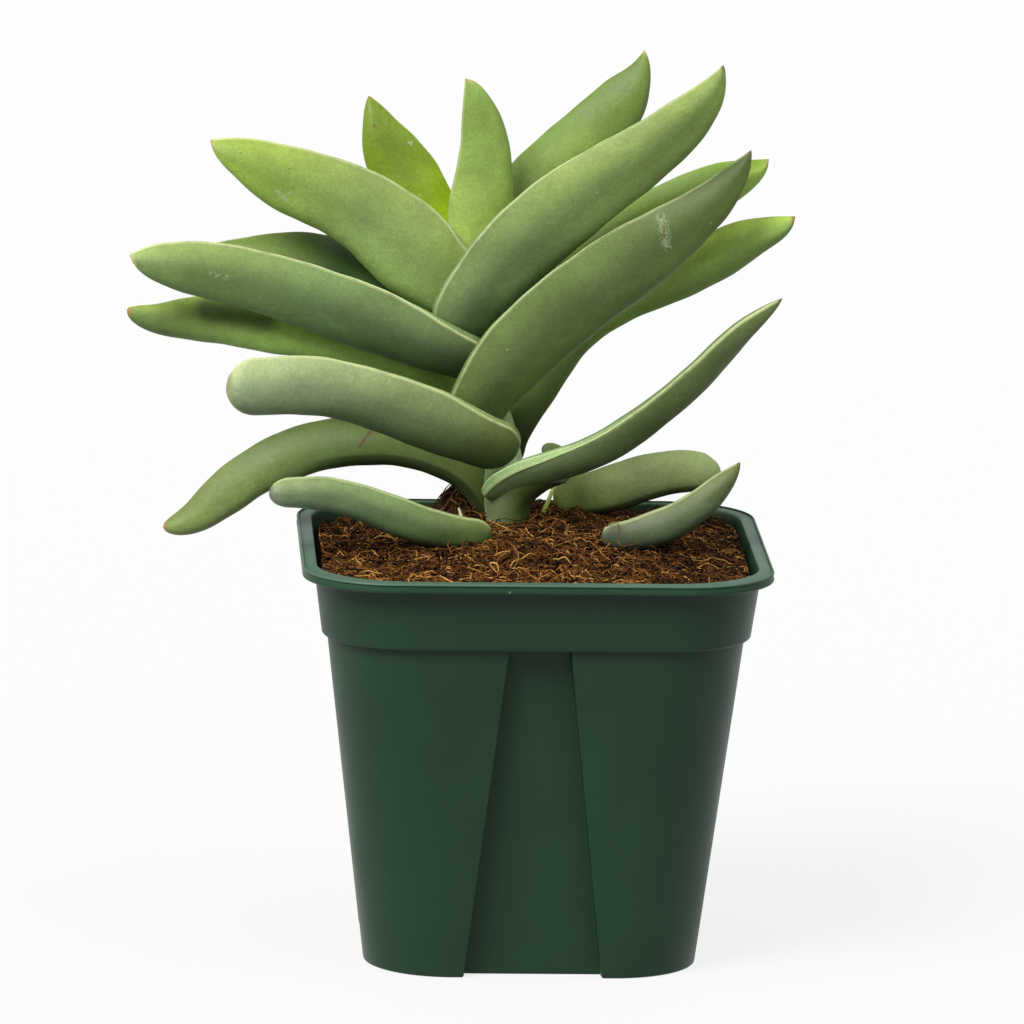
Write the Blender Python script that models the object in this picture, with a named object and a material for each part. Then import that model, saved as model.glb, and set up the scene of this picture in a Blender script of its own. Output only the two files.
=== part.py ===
"""Potted crassula: a square nursery pot, its coir soil, and one plant with paired sickle leaves.

Metres, +Z up. The origin is the middle of the pot's flat bottom. +X is to the right and -Y is the
front of the plant, whose leaves spread in a fan along X. Tables are in millimetres.
"""
import math

import bmesh
import bpy
import numpy as np

MM = 0.001
GAP = 0.3                  # clearance between touching pieces

# Pot: a tapering rounded square with a collar, a turned-out lip and one tapering recess per side.
POT_HEIGHT = 95.0
LIP_HALF = 54.0            # half of the widest width, across the lip
LIP_HEIGHT = 2.4
LIP_EDGE = 0.4             # small rounding of the lip's upper edges
LIP_CORNER = 21.4
COLLAR_Z = 78.5            # underside of the collar
COLLAR_HALF_TOP = 51.1
COLLAR_HALF_BOTTOM = 49.2
COLLAR_CORNER = 21.8
BODY_HALF_TOP = 47.9
BODY_HALF_BOTTOM = 38.4
BODY_CORNER_TOP = 21.6
BODY_CORNER_BOTTOM = 19.8
WALL = 0.8
FLOOR = 1.6
RECESS_DEPTH = 4.0
RECESS_HALF_TOP = 7.1
RECESS_HALF_BOTTOM = 16.0
RECESS_SLOPE = 0.5         # sideways run of a recess's side walls
DRAIN_RADIUS = 4.5
DRAIN_OFFSET = 20.0
CORNER_STEPS = 6

# Soil: flat near the walls, with a low mound round the stem.
SOIL_EDGE_Z = 90.5
SOIL_MOUND = 8.0
SOIL_MOUND_CENTRE = (0.0, 10.0)
SOIL_MOUND_RADIUS = 34.0
SOIL_PIT = 6.0
SOIL_PIT_CENTRE = (-37.0, 34.0)
SOIL_PIT_RADIUS = 8.0
SOIL_RINGS = (0.97, 0.85, 0.7, 0.55, 0.4, 0.25, 0.12)

# Stem: points and radii from below the soil to the growing tip.
STEM_PATH = ((-5.5, 8.0, 84.0), (-5.5, 8.0, 97.0), (-6.0, 7.7, 104.0), (-7.5, 8.3, 119.0),
             (-13.0, 10.2, 135.0), (-17.2, 12.2, 150.0), (-18.5, 13.5, 162.5))
STEM_RADII = (4.2, 4.8, 5.0, 3.7, 3.3, 2.7, 1.9)

# Leaves: middle line from base to tip (x, y, z), and the blade's width at each inner point.
# front is True where the leaf clasps the stem's front; lean tips its upper edge away from the stem.
LEAVES = {
    "leaf_1_right": dict(
        path=((-11.5, 0, 105.5), (-3, -1.2, 111), (5, -2.5, 113.8), (14.9, -5, 118.1),
              (26.4, -6.5, 126.1), (37.3, -8.5, 136.2), (47.5, -10.3, 147), (56.7, -11, 153.5)),
        widths=(8.8, 9.2, 9.8, 9.4, 8.4, 5.6), thick=5.5, front=True, lean=(40, 40), ends=(6, 22, 0.8),
        skew=0.5, edges=(0.8, 0.8)),
    "leaf_1_left": dict(
        path=((-7, 13.7, 98.4), (-11.5, 13.7, 105.9), (-23, 13.8, 113.6), (-37, 14, 116),
              (-51, 14.5, 114), (-63.5, 15, 108.5), (-73, 15.5, 101.2), (-81, 16, 95.6),
              (-85.5, 16, 94.5)),
        widths=(10.2, 10.9, 11.7, 11.8, 11.2, 9.8, 6), thick=6, front=False, lean=(25, 10),
        ends=(6, 20, 0.52), skew=0, edges=(1.4, 1.2)),
    "leaf_2_left": dict(
        path=((-4, -1.4, 116.1), (-12.5, -3.4, 119.6), (-24.5, -5.4, 124.8), (-38, -7.5, 129.8),
              (-52, -10, 133), (-65, -12.5, 133), (-71.5, -14, 133)),
        widths=(14.5, 16, 14.6, 14.2, 13.7), thick=8, front=True, lean=(30, 5), ends=(6, 7, 0.5),
        skew=0, edges=(1.2, 0.8)),
    "leaf_2_right": dict(
        path=((-6, 13.8, 108.9), (-5, 14.2, 116.9), (0.5, 14.6, 127.5), (7, 14.8, 138.3),
              (15.5, 14.8, 146.6), (26, 14.2, 152.4), (40, 13.6, 159.1), (50.6, 13, 164),
              (60.4, 12.6, 164.7)),
        widths=(9, 10, 10.3, 10.6, 11.2, 11.6, 9.2), thick=7, front=False, lean=(25, 10),
        ends=(6, 18, 0.52), skew=1, edges=(1.7, 1.4)),
    "leaf_3_right": dict(
        path=((-15.5, 0.7, 121.1), (-13, 0.1, 128.1), (-7.8, 0, 136.1), (3, 0.2, 147),
              (14.5, 0.5, 156.2), (26, 1.2, 164.1), (37, 2, 172.2), (45.7, 2.6, 179),
              (51.6, 2.8, 183.1)),
        widths=(16, 18.3, 19.2, 18.4, 16.4, 11.4, 6.8), thick=8, front=True, lean=(30, 5),
        ends=(6, 16, 0.8), skew=1, edges=(1.7, 0.6)),
    "leaf_3_left": dict(
        path=((-13.9, 13.1, 130.5), (-28.5, 11.3, 137.2), (-45, 8.6, 141.6), (-61, 6.3, 143.7),
              (-77.5, 4.4, 145.8), (-90.1, 3.2, 145.7), (-94.8, 3, 146.6)),
        widths=(10.3, 11.7, 12, 10.5, 5.8), thick=7, front=False, lean=(25, 5), ends=(6, 22, 0.52),
        skew=0.3, edges=(1.7, 1.5)),
    "leaf_4_left": dict(
        path=((-11, 3.7, 136.1), (-18.5, 2.6, 139), (-31.5, 1.3, 144.5), (-52.5, -1, 152.4),
              (-73, -3.5, 158.2), (-85.9, -4.9, 159.2), (-93, -5.6, 157.8)),
        widths=(13, 15.4, 15.6, 13.6, 10.2), thick=8, front=True, lean=(30, 5), ends=(6, 16, 0.55),
        skew=0.7, edges=(1.7, 0.6)),
    "leaf_4_right": dict(
        path=((-13.5, 14.3, 137.5), (-7.5, 14.2, 143.3), (4, 13.4, 152.9), (18, 12, 164.2),
              (32, 10.8, 172.4), (43.6, 9.8, 176.8), (54, 9.3, 177.8)),
        widths=(9, 11, 11.5, 11.8, 10.4), thick=7, front=False, lean=(25, 5), ends=(6, 20, 0.52),
        skew=1, edges=(1.8, 1.5)),
    "leaf_5_right": dict(
        path=((-19, 3.9, 142.1), (-13.5, 2.7, 153.1), (-2, 2.2, 166.1), (11.2, 1.5, 177.1),
              (23.5, 0, 185.8), (34.3, -2.2, 194.2), (41.4, -3.6, 199.3), (45.8, -4.4, 203.1)),
        widths=(17.5, 19.4, 17.8, 14.8, 11.3, 6.8), thick=8, front=True, lean=(25, 5),
        ends=(7, 22, 0.75), skew=1, edges=(1.7, 0.6)),
    "leaf_5_left": dict(
        path=((-17.2, 15.5, 145.9), (-26.5, 14.4, 149.3), (-40.5, 12.8, 154.5), (-54, 11.4, 158.4),
              (-65.9, 10.4, 159.1), (-74.3, 10, 158)),
        widths=(13, 15, 13.4, 7.4), thick=7, front=False, lean=(25, 5), ends=(6, 24, 0.72), skew=0.8,
        edges=(1.8, 1.5)),
    "leaf_6_left": dict(
        path=((-14, 7.5, 152.1), (-19.5, 7.1, 154.7), (-27, 6.5, 160.5), (-36, 5.5, 168.5),
              (-49, 4.5, 175.7), (-62.3, 3.1, 179.2), (-70.2, 2.9, 180), (-73.5, 2.8, 179.9)),
        widths=(17, 20.5, 19.8, 17.2, 14.1, 9), thick=8, front=True, lean=(5, 5), ends=(6, 26, 0.52),
        skew=1, edges=(1.7, 0.6)),
    "leaf_6_right": dict(
        path=((-16.5, 15, 158.5), (-9.2, 17.4, 167.6), (-0.5, 20, 176.5), (10.5, 22, 186),
              (21.8, 24.4, 195.7), (26.7, 25.3, 200.6), (29.2, 25.6, 203.6)),
        widths=(9.5, 12.6, 13, 11.3, 5.3), thick=6.5, front=False, lean=(20, 5), ends=(6, 16, 0.75),
        skew=1, edges=(1.3, 0.7)),
    "leaf_7_right": dict(
        path=((-17, 10, 158.5), (-16, 10, 163), (-13.5, 9.5, 170.5), (-12.2, 9.5, 179.5),
              (-11.6, 9.6, 189), (-11.5, 9.2, 197.8), (-11.2, 9.5, 201.2)),
        widths=(10, 14, 13.4, 10.7, 6), thick=6, front=True, lean=(5, 5), ends=(5, 24, 0.5), skew=1,
        edges=(1.7, 0.6)),
    "leaf_7_left": dict(
        path=((-19, 13.5, 163), (-23, 14.5, 168.5), (-28.5, 16, 176), (-33.7, 17.5, 183.5),
              (-37.5, 19, 190.8), (-39.8, 19.9, 195.6)),
        widths=(12.3, 14.6, 13.4, 6.6), thick=5.5, front=False, lean=(10, 5), ends=(6, 15, 0.85),
        skew=0.2, edges=(1.8, 1.6)),
    "leaf_low_left": dict(
        path=((-10, -10, 98.6), (-13.5, -10.5, 98.8), (-20.5, -11, 99.4), (-31, -12, 102.5),
              (-43, -13, 107), (-51.5, -14, 108.5), (-59, -14.5, 108.5), (-61.5, -15, 108.5)),
        widths=(6.6, 8.3, 9.1, 8.3, 7.7, 6.1), thick=7, front=True, lean=(0, 0), ends=(4, 5, 0.5),
        skew=0, edges=(1.3, 1.1)),
    "leaf_low_back": dict(
        path=((5.5, 17, 102), (10, 18, 102.4), (18, 20, 103.6), (28.5, 22.5, 106.5), (39, 24.5, 107.5),
              (43, 25.5, 107.5), (45, 26, 108)),
        widths=(9.6, 11, 10.8, 9.5, 6.8), thick=7, front=False, lean=(0, 0), ends=(5, 5, 0.5), skew=0,
        edges=(1.3, 1.1)),
    "leaf_low_front": dict(
        path=((15.5, -11, 99), (18, -10.5, 98.5), (24.5, -9.5, 99), (32, -8.5, 101.5),
              (38.5, -7, 105.5), (43.2, -6, 109.2), (48.8, -5, 113.1)),
        widths=(6.2, 8, 8.2, 7.3, 5.6), thick=6.5, front=True, lean=(0, 0), ends=(3, 12, 0.75),
        skew=0.7, edges=(1.3, 1.1)),
}
RINGS = 12                 # cross-sections along a leaf
AROUND = 12                # points round a leaf's cross-section
EDGE_THIN = 0.3            # how much thinner the upper edge is than the lower one
CUP = 0.02                 # hollow of the blade, as a share of its width
BASE_THIN = 0.55           # thickness at the clasping base, as a share of the blade's
BASE_LENGTH = 16.0         # distance over which the base swells to the full thickness

# Small pieces: tubes given by their middle line and radii.
STUB_PATH = ((-16.5, 20.0, 88.0), (-16.5, 20.0, 96.0), (-16.0, 20.0, 100.5), (-15.5, 20.0, 104.0))
STUB_RADII = (4.8, 5.8, 4.6, 1.8)
TWIG_PATH = ((-15.5, 3.5, 92.0), (-15.9, 4.0, 98.0), (-17.0, 5.0, 101.8))
TWIG_RADII = (0.4, 0.4, 0.3)
STALK_PATH = ((2.0, 8.0, 91.0), (2.2, 8.0, 98.5), (4.0, 8.5, 103.0), (5.5, 9.0, 107.5))
STALK_RADII = (0.6, 0.6, 0.5, 0.45)
SEEDLING_LEAVES = {
    "seedling_leaf_1": dict(
        path=((5.8, 9.0, 107.9), (8.0, 9.0, 111.3), (6.6, 9.0, 114.6), (2.2, 9.0, 115.8)),
        widths=(2.4, 3.4), thick=1.8, front=False, lean=(0, 0), ends=(2, 2, 0.5)),
    "seedling_leaf_2": dict(
        path=((6.0, 10.2, 107.2), (7.2, 11.0, 107.9), (8.6, 11.6, 109.0), (9.6, 11.8, 110.2)),
        widths=(2.0, 2.4), thick=1.8, front=False, lean=(0, 0), ends=(2, 2, 0.5)),
}

# Colour (linear RGB), roughness.
FINISH = {
    "pot": ((0.028, 0.060, 0.040), 0.45),
    "soil": ((0.070, 0.035, 0.018), 0.95),
    "stem": ((0.150, 0.230, 0.080), 0.60),
    "bark": ((0.090, 0.060, 0.030), 0.90),
    "dry": ((0.450, 0.380, 0.240), 0.80),
    "leaf": ((0.210, 0.310, 0.120), 0.60),
    "seedling": ((0.250, 0.330, 0.060), 0.60),
}


def material(kind):
    """Return the Principled material of one finish, made once."""
    found = bpy.data.materials.get(kind)
    if found:
        return found
    colour, roughness = FINISH[kind]
    made = bpy.data.materials.new(kind)
    made.use_nodes = True
    shader = made.node_tree.nodes["Principled BSDF"]
    shader.inputs["Base Color"].default_value = (*colour, 1.0)
    shader.inputs["Roughness"].default_value = roughness
    made.diffuse_color = (*colour, 1.0)
    return made


def collection(name):
    """Return a new collection linked to the scene."""
    made = bpy.data.collections.new(name)
    bpy.context.scene.collection.children.link(made)
    return made


def add_object(name, mesh, group, kind=None):
    """Put a mesh into the scene under a node's name."""
    made = bpy.data.objects.new(name, mesh)
    group.objects.link(made)
    if kind:
        own = material(kind).copy()
        own.name = name
        mesh.materials.append(own)
    return made


def mesh_from(points, faces, name):
    """Make a smooth-shaded mesh from points in millimetres, its faces turned outwards."""
    mesh = bpy.data.meshes.new(name)
    mesh.from_pydata((np.asarray(points) * MM).tolist(), [], faces)
    shape = bmesh.new()
    shape.from_mesh(mesh)
    bmesh.ops.triangulate(shape, faces=shape.faces)
    bmesh.ops.recalc_face_normals(shape, faces=shape.faces)
    shape.to_mesh(mesh)
    shape.free()
    mesh.shade_smooth()
    mesh.set_sharp_from_angle(angle=math.radians(35))
    return mesh


def ring_faces(rings, around):
    """Join each ring of points to the next one with quads."""
    faces = []
    for ring in range(rings - 1):
        low = ring * around
        for k in range(around):
            after = (k + 1) % around
            faces.append((low + k, low + after, low + around + after, low + around + k))
    return faces


def smooth(knots, values, at):
    """Read the natural cubic spline through values at knots, at the places in at."""
    knots = np.asarray(knots, float)
    values = np.asarray(values, float)
    gaps = np.diff(knots)
    count = len(knots)
    inner = np.arange(1, count - 1)
    system = np.eye(count)
    system[inner, inner - 1] = gaps[:-1]
    system[inner, inner] = 2 * (gaps[:-1] + gaps[1:])
    system[inner, inner + 1] = gaps[1:]
    slopes = np.diff(values, axis=0) / gaps.reshape(-1, *[1] * (values.ndim - 1))
    right = np.zeros_like(values)
    right[inner] = 6 * (slopes[1:] - slopes[:-1])
    bend = np.linalg.solve(system, right)
    i = np.clip(np.searchsorted(knots, at) - 1, 0, count - 2)
    shape = (-1, *[1] * (values.ndim - 1))
    a = ((knots[i + 1] - at) / gaps[i]).reshape(shape)
    b = 1 - a
    span = (gaps[i] ** 2 / 6).reshape(shape)
    return a * values[i] + b * values[i + 1] + ((a**3 - a) * bend[i] + (b**3 - b) * bend[i + 1]) * span


def end_shape(place, length, ends):
    """Factor that closes a blade: an elliptic base, and a tip that is round at power 0.5, sharp at 1."""
    base, tip, power = ends
    from_base = np.clip(1 - place / base, 0, 1)
    from_tip = np.clip(1 - (length - place) / tip, 0, 1)
    return np.sqrt(1 - from_base**2) * (1 - from_tip**2) ** power


def blade_frames(line, lean, front, points_right):
    """Give each ring its width direction and its outward normal, leaned about the middle line."""
    along = np.gradient(line, axis=0)
    along /= np.linalg.norm(along, axis=1, keepdims=True)
    outward = np.array((0.0, -1.0 if front else 1.0, 0.0))
    upper = np.cross((0.0, -1.0 if points_right else 1.0, 0.0), along)
    upper /= np.linalg.norm(upper, axis=1, keepdims=True)
    normal = np.cross(along, upper)
    normal *= np.sign(normal @ outward)[:, None]
    angle = np.radians(lean)[:, None]
    leaned = upper * np.cos(angle) + normal * np.sin(angle)
    return leaned, normal * np.cos(angle) - upper * np.sin(angle)


def leaf_mesh(name, path, widths, thick, front, lean, ends, skew=0.0, edges=(1.0, 1.0)):
    """Loft a succulent blade from lens sections, thinner at the upper edge.

    skew draws the tip towards the upper edge, wholly at 1. edges gives how sharp the upper and the
    lower edge are: 1 is round, more is sharper.
    """
    path = np.asarray(path, float)
    knots = np.append(0, np.cumsum(np.linalg.norm(np.diff(path, axis=0), axis=1)))
    length = knots[-1]
    even = np.linspace(0, 1, RINGS + 2)
    place = length * (0.5 * even + 0.25 * (1 - np.cos(math.pi * even)))
    line = smooth(knots, path, place)
    full = np.asarray(widths) / end_shape(knots[1:-1], length, ends)
    full = smooth(knots, np.concatenate((full[:1], full, full[-1:])), place)
    width = full * end_shape(place, length, ends)
    swell = BASE_THIN + (1 - BASE_THIN) * np.sin(math.pi / 2 * np.clip(place / BASE_LENGTH, 0, 1)) ** 2
    depth = swell * thick * np.tanh(0.9 * width / thick)
    upper, normal = blade_frames(line, np.interp(place, (0, length), lean), front, path[-1, 0] > path[0, 0])
    in_tip = place > length - ends[1]
    line = line + (skew / 2 * np.where(in_tip, full - width, 0))[:, None] * upper
    turn = 2 * math.pi * np.arange(AROUND) / AROUND
    across, proud = np.cos(turn), np.sin(turn)
    profile = np.sign(proud) * np.abs(proud) ** np.where(across > 0, *edges)
    inner = slice(1, -1)
    sideways = width[inner, None] / 2 * across
    outwards = depth[inner, None] / 2 * profile * (1 - EDGE_THIN * across)
    outwards = outwards + CUP * width[inner, None] * proud**2
    rings = (line[inner, None] + sideways[..., None] * upper[inner, None]
             + outwards[..., None] * normal[inner, None])
    points = np.concatenate((rings.reshape(-1, 3), line[:1], line[-1:]))
    faces = ring_faces(RINGS, AROUND)
    base_pole, tip_pole = len(points) - 2, len(points) - 1
    last = (RINGS - 1) * AROUND
    for k in range(AROUND):
        after = (k + 1) % AROUND
        faces.append((k, base_pole, after))
        faces.append((last + k, last + after, tip_pole))
    return mesh_from(points, faces, name)


def square_outline(half, corner, recess_half, recess_depth):
    """Points round a rounded square, with four of them on each side's recess, from the front's left."""
    inner_half = recess_half - RECESS_SLOPE
    side = [(-recess_half, -half), (-inner_half, -half + recess_depth),
            (inner_half, -half + recess_depth), (recess_half, -half)]
    for turn in np.linspace(-math.pi / 2, 0, CORNER_STEPS + 1):
        side.append((half - corner + corner * math.cos(turn), -half + corner + corner * math.sin(turn)))
    side = np.asarray(side)
    outline = []
    for quarter in range(4):
        cos, sin = math.cos(quarter * math.pi / 2), math.sin(quarter * math.pi / 2)
        outline.append(side @ np.array(((cos, sin), (-sin, cos))))
    return np.concatenate(outline)


def at_height(outline, z):
    """Lift an outline to one height."""
    return np.column_stack((outline, np.full(len(outline), float(z))))


def body_outline(z, inset):
    """The pot body's outline at a height, moved inwards by inset."""
    share = z / COLLAR_Z
    half = BODY_HALF_BOTTOM + (BODY_HALF_TOP - BODY_HALF_BOTTOM) * share
    corner = BODY_CORNER_BOTTOM + (BODY_CORNER_TOP - BODY_CORNER_BOTTOM) * share
    recess = RECESS_HALF_BOTTOM + (RECESS_HALF_TOP - RECESS_HALF_BOTTOM) * share
    return at_height(square_outline(half - inset, corner - inset, recess + inset, RECESS_DEPTH), z)


def collar_outline(z, inset):
    """The collar's outline at a height, moved inwards by inset, with no recess."""
    share = (z - COLLAR_Z) / (POT_HEIGHT - LIP_HEIGHT - COLLAR_Z)
    half = COLLAR_HALF_BOTTOM + (COLLAR_HALF_TOP - COLLAR_HALF_BOTTOM) * share
    return at_height(square_outline(half - inset, COLLAR_CORNER - inset, RECESS_HALF_TOP, 0), z)


def lip_outline(z, inset):
    """The lip's outline at a height, moved inwards by inset."""
    return at_height(square_outline(LIP_HALF - inset, LIP_CORNER - inset, RECESS_HALF_TOP, 0), z)


def pot_mesh():
    """One shell: up the outside, over the lip, down the inside to the floor."""
    lip_z = POT_HEIGHT - LIP_HEIGHT
    ledge_z = COLLAR_Z + WALL
    rings = [body_outline(0, 0), body_outline(COLLAR_Z, 0),
             collar_outline(COLLAR_Z, 0), collar_outline(lip_z, 0),
             lip_outline(lip_z, 0), lip_outline(POT_HEIGHT - LIP_EDGE, 0),
             lip_outline(POT_HEIGHT, LIP_EDGE), collar_outline(POT_HEIGHT, WALL - LIP_EDGE),
             collar_outline(POT_HEIGHT - LIP_EDGE, WALL), collar_outline(ledge_z, WALL),
             body_outline(ledge_z, WALL), body_outline(FLOOR, WALL)]
    around = len(rings[0])
    faces = ring_faces(len(rings), around)
    faces.append(tuple(range(around)))
    faces.append(tuple(range((len(rings) - 1) * around, len(rings) * around)))
    return mesh_from(np.concatenate(rings), faces, "pot")


def soil_height(x, y):
    """Height of the soil at a place: a bell-shaped mound and a pit on a flat bed."""
    away = (x - SOIL_MOUND_CENTRE[0]) ** 2 + (y - SOIL_MOUND_CENTRE[1]) ** 2
    mound = SOIL_MOUND * np.exp(-away / SOIL_MOUND_RADIUS**2)
    away = (x - SOIL_PIT_CENTRE[0]) ** 2 + (y - SOIL_PIT_CENTRE[1]) ** 2
    return SOIL_EDGE_Z + mound - SOIL_PIT * np.exp(-away / SOIL_PIT_RADIUS**2)


def soil_mesh():
    """Fill the pot's inside with a clearance, and close it with rings that climb the mound."""
    fit = WALL + GAP
    ledge_z = COLLAR_Z + WALL + GAP
    rings = [body_outline(FLOOR + GAP, fit), body_outline(ledge_z, fit), collar_outline(ledge_z, fit)]
    edge = collar_outline(SOIL_EDGE_Z, fit)
    for scale in (1.0, *SOIL_RINGS):
        ring = edge * (scale, scale, 1)
        ring[:, 2] = soil_height(ring[:, 0], ring[:, 1])
        rings.append(ring)
    around = len(edge)
    faces = ring_faces(len(rings), around)
    faces.append(tuple(range(around)))
    centre = np.array(((0, 0, soil_height(0, 0)),))
    points = np.concatenate((*rings, centre))
    last = (len(rings) - 1) * around
    for k in range(around):
        faces.append((last + k, last + (k + 1) % around, len(points) - 1))
    return mesh_from(points, faces, "soil")


def tube_mesh(name, path, radii, grow=0.0):
    """Sweep a round section along a smooth curve, with capped ends; grow widens a cutter."""
    curve = bpy.data.curves.new(name, "CURVE")
    curve.dimensions = "3D"
    curve.bevel_depth = MM
    curve.bevel_resolution = 2
    curve.use_fill_caps = True
    path = np.asarray(path, float)
    knots = np.append(0, np.cumsum(np.linalg.norm(np.diff(path, axis=0), axis=1)))
    place = np.linspace(0, knots[-1], 3 * len(path))
    line = smooth(knots, path, place) * MM
    spline = curve.splines.new("POLY")
    spline.points.add(len(line) - 1)
    radius = smooth(knots, radii, place) + grow
    for point, co, r in zip(spline.points, line, radius):
        point.co = (*co, 1.0)
        point.radius = r
    carrier = bpy.data.objects.new(name + "_curve", curve)
    bpy.context.scene.collection.objects.link(carrier)
    bpy.context.view_layer.update()
    graph = bpy.context.evaluated_depsgraph_get()
    mesh = bpy.data.meshes.new_from_object(carrier.evaluated_get(graph))
    bpy.data.objects.remove(carrier)
    bpy.data.curves.remove(curve)
    shape = bmesh.new()
    shape.from_mesh(mesh)
    bmesh.ops.remove_doubles(shape, verts=shape.verts, dist=1e-7)
    bmesh.ops.triangulate(shape, faces=shape.faces)
    bmesh.ops.recalc_face_normals(shape, faces=shape.faces)
    shape.to_mesh(mesh)
    shape.free()
    mesh.materials.clear()
    mesh.shade_smooth()
    return mesh


def cut(target, name, mesh, cutters):
    """Cut one mesh out of an object with an exact Boolean."""
    tool = add_object(name, mesh, cutters)
    tool.hide_render = True
    tool.display_type = "WIRE"
    boolean = target.modifiers.new(name, "BOOLEAN")
    boolean.operation = "DIFFERENCE"
    boolean.solver = "EXACT"
    boolean.object = tool


def drain_mesh(x, y):
    """A cylinder through the floor."""
    shape = bmesh.new()
    bmesh.ops.create_cone(shape, cap_ends=True, segments=16, radius1=DRAIN_RADIUS * MM,
                          radius2=DRAIN_RADIUS * MM, depth=4 * FLOOR * MM)
    bmesh.ops.translate(shape, verts=shape.verts, vec=(x * MM, y * MM, 0))
    mesh = bpy.data.meshes.new("drain")
    shape.to_mesh(mesh)
    shape.free()
    return mesh


def build_pot(parts, cutters):
    """The pot, with a drain hole at each corner of its floor."""
    pot = add_object("pot", pot_mesh(), parts, "pot")
    for i, (sx, sy) in enumerate(((-1, -1), (1, -1), (1, 1), (-1, 1)), 1):
        cut(pot, f"drain_{i}", drain_mesh(sx * DRAIN_OFFSET, sy * DRAIN_OFFSET), cutters)


def build_soil(parts, cutters):
    """The soil, with a pit round each piece that stands in it."""
    soil = add_object("soil", soil_mesh(), parts, "soil")
    standing = (("stem", STEM_PATH, STEM_RADII), ("old_stem_stub", STUB_PATH, STUB_RADII),
                ("dry_twig", TWIG_PATH, TWIG_RADII), ("seedling_stalk", STALK_PATH, STALK_RADII))
    for name, path, radii in standing:
        deeper = ((*path[0][:2], path[0][2] - GAP), *path[1:])
        cut(soil, name + "_pit", tube_mesh(name + "_pit", deeper, radii, GAP), cutters)


def build_plant(parts):
    """The stem, every leaf, and the small pieces beside them."""
    for name, path, radii, kind in (("stem", STEM_PATH, STEM_RADII, "stem"),
                                    ("old_stem_stub", STUB_PATH, STUB_RADII, "bark"),
                                    ("dry_twig", TWIG_PATH, TWIG_RADII, "dry"),
                                    ("seedling_stalk", STALK_PATH, STALK_RADII, "seedling")):
        add_object(name, tube_mesh(name, path, radii), parts, kind)
    for name, leaf in LEAVES.items():
        add_object(name, leaf_mesh(name, **leaf), parts, "leaf")
    for name, leaf in SEEDLING_LEAVES.items():
        add_object(name, leaf_mesh(name, **leaf), parts, "seedling")


def main():
    """Empty the scene and build the whole plant in its pot."""
    for old in list(bpy.data.objects):
        bpy.data.objects.remove(old, do_unlink=True)
    parts = collection("potted_crassula")
    cutters = collection("cutters")
    build_pot(parts, cutters)
    build_soil(parts, cutters)
    build_plant(parts)


main()
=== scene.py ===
"""Potted crassula: fine leaves, a moulded pot and fibrous soil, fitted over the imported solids.

The file is laid out as a Blender add-on and is run as a script. Lengths are in metres with +Z up;
the tables of the plant's own shape are in millimetres. +X is to the right and -Y is the front.
"""
import math

import bpy
import numpy as np
from bpy.props import FloatProperty, FloatVectorProperty, IntProperty, PointerProperty
from bpy.types import Operator, Panel, PropertyGroup
from mathutils import Matrix, Vector


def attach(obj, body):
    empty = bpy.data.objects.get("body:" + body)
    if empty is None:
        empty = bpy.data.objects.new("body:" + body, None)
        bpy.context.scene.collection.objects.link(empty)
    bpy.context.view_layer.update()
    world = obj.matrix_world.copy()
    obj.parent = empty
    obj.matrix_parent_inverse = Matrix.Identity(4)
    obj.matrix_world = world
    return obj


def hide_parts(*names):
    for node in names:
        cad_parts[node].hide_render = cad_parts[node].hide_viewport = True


bl_info = {
    "name": "Potted Crassula",
    "version": (1, 0, 0),
    "blender": (4, 5, 0),
    "location": "3D View > Sidebar > Crassula",
    "description": "Dresses a potted crassula with fine leaves, a moulded pot and fibrous soil",
    "category": "Add Mesh",
}

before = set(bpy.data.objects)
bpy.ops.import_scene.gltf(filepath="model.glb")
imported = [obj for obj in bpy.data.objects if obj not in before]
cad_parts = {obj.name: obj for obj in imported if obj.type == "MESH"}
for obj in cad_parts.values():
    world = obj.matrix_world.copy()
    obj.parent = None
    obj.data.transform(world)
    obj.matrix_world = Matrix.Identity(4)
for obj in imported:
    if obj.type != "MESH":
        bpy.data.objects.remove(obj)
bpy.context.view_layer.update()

MM = 0.001
USUAL_SHARP = 40.0         # degrees past which an edge is shaded as sharp

# ---------------------------------------------------------------------------------------------
# The plant's own shape, in millimetres
# ---------------------------------------------------------------------------------------------

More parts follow.
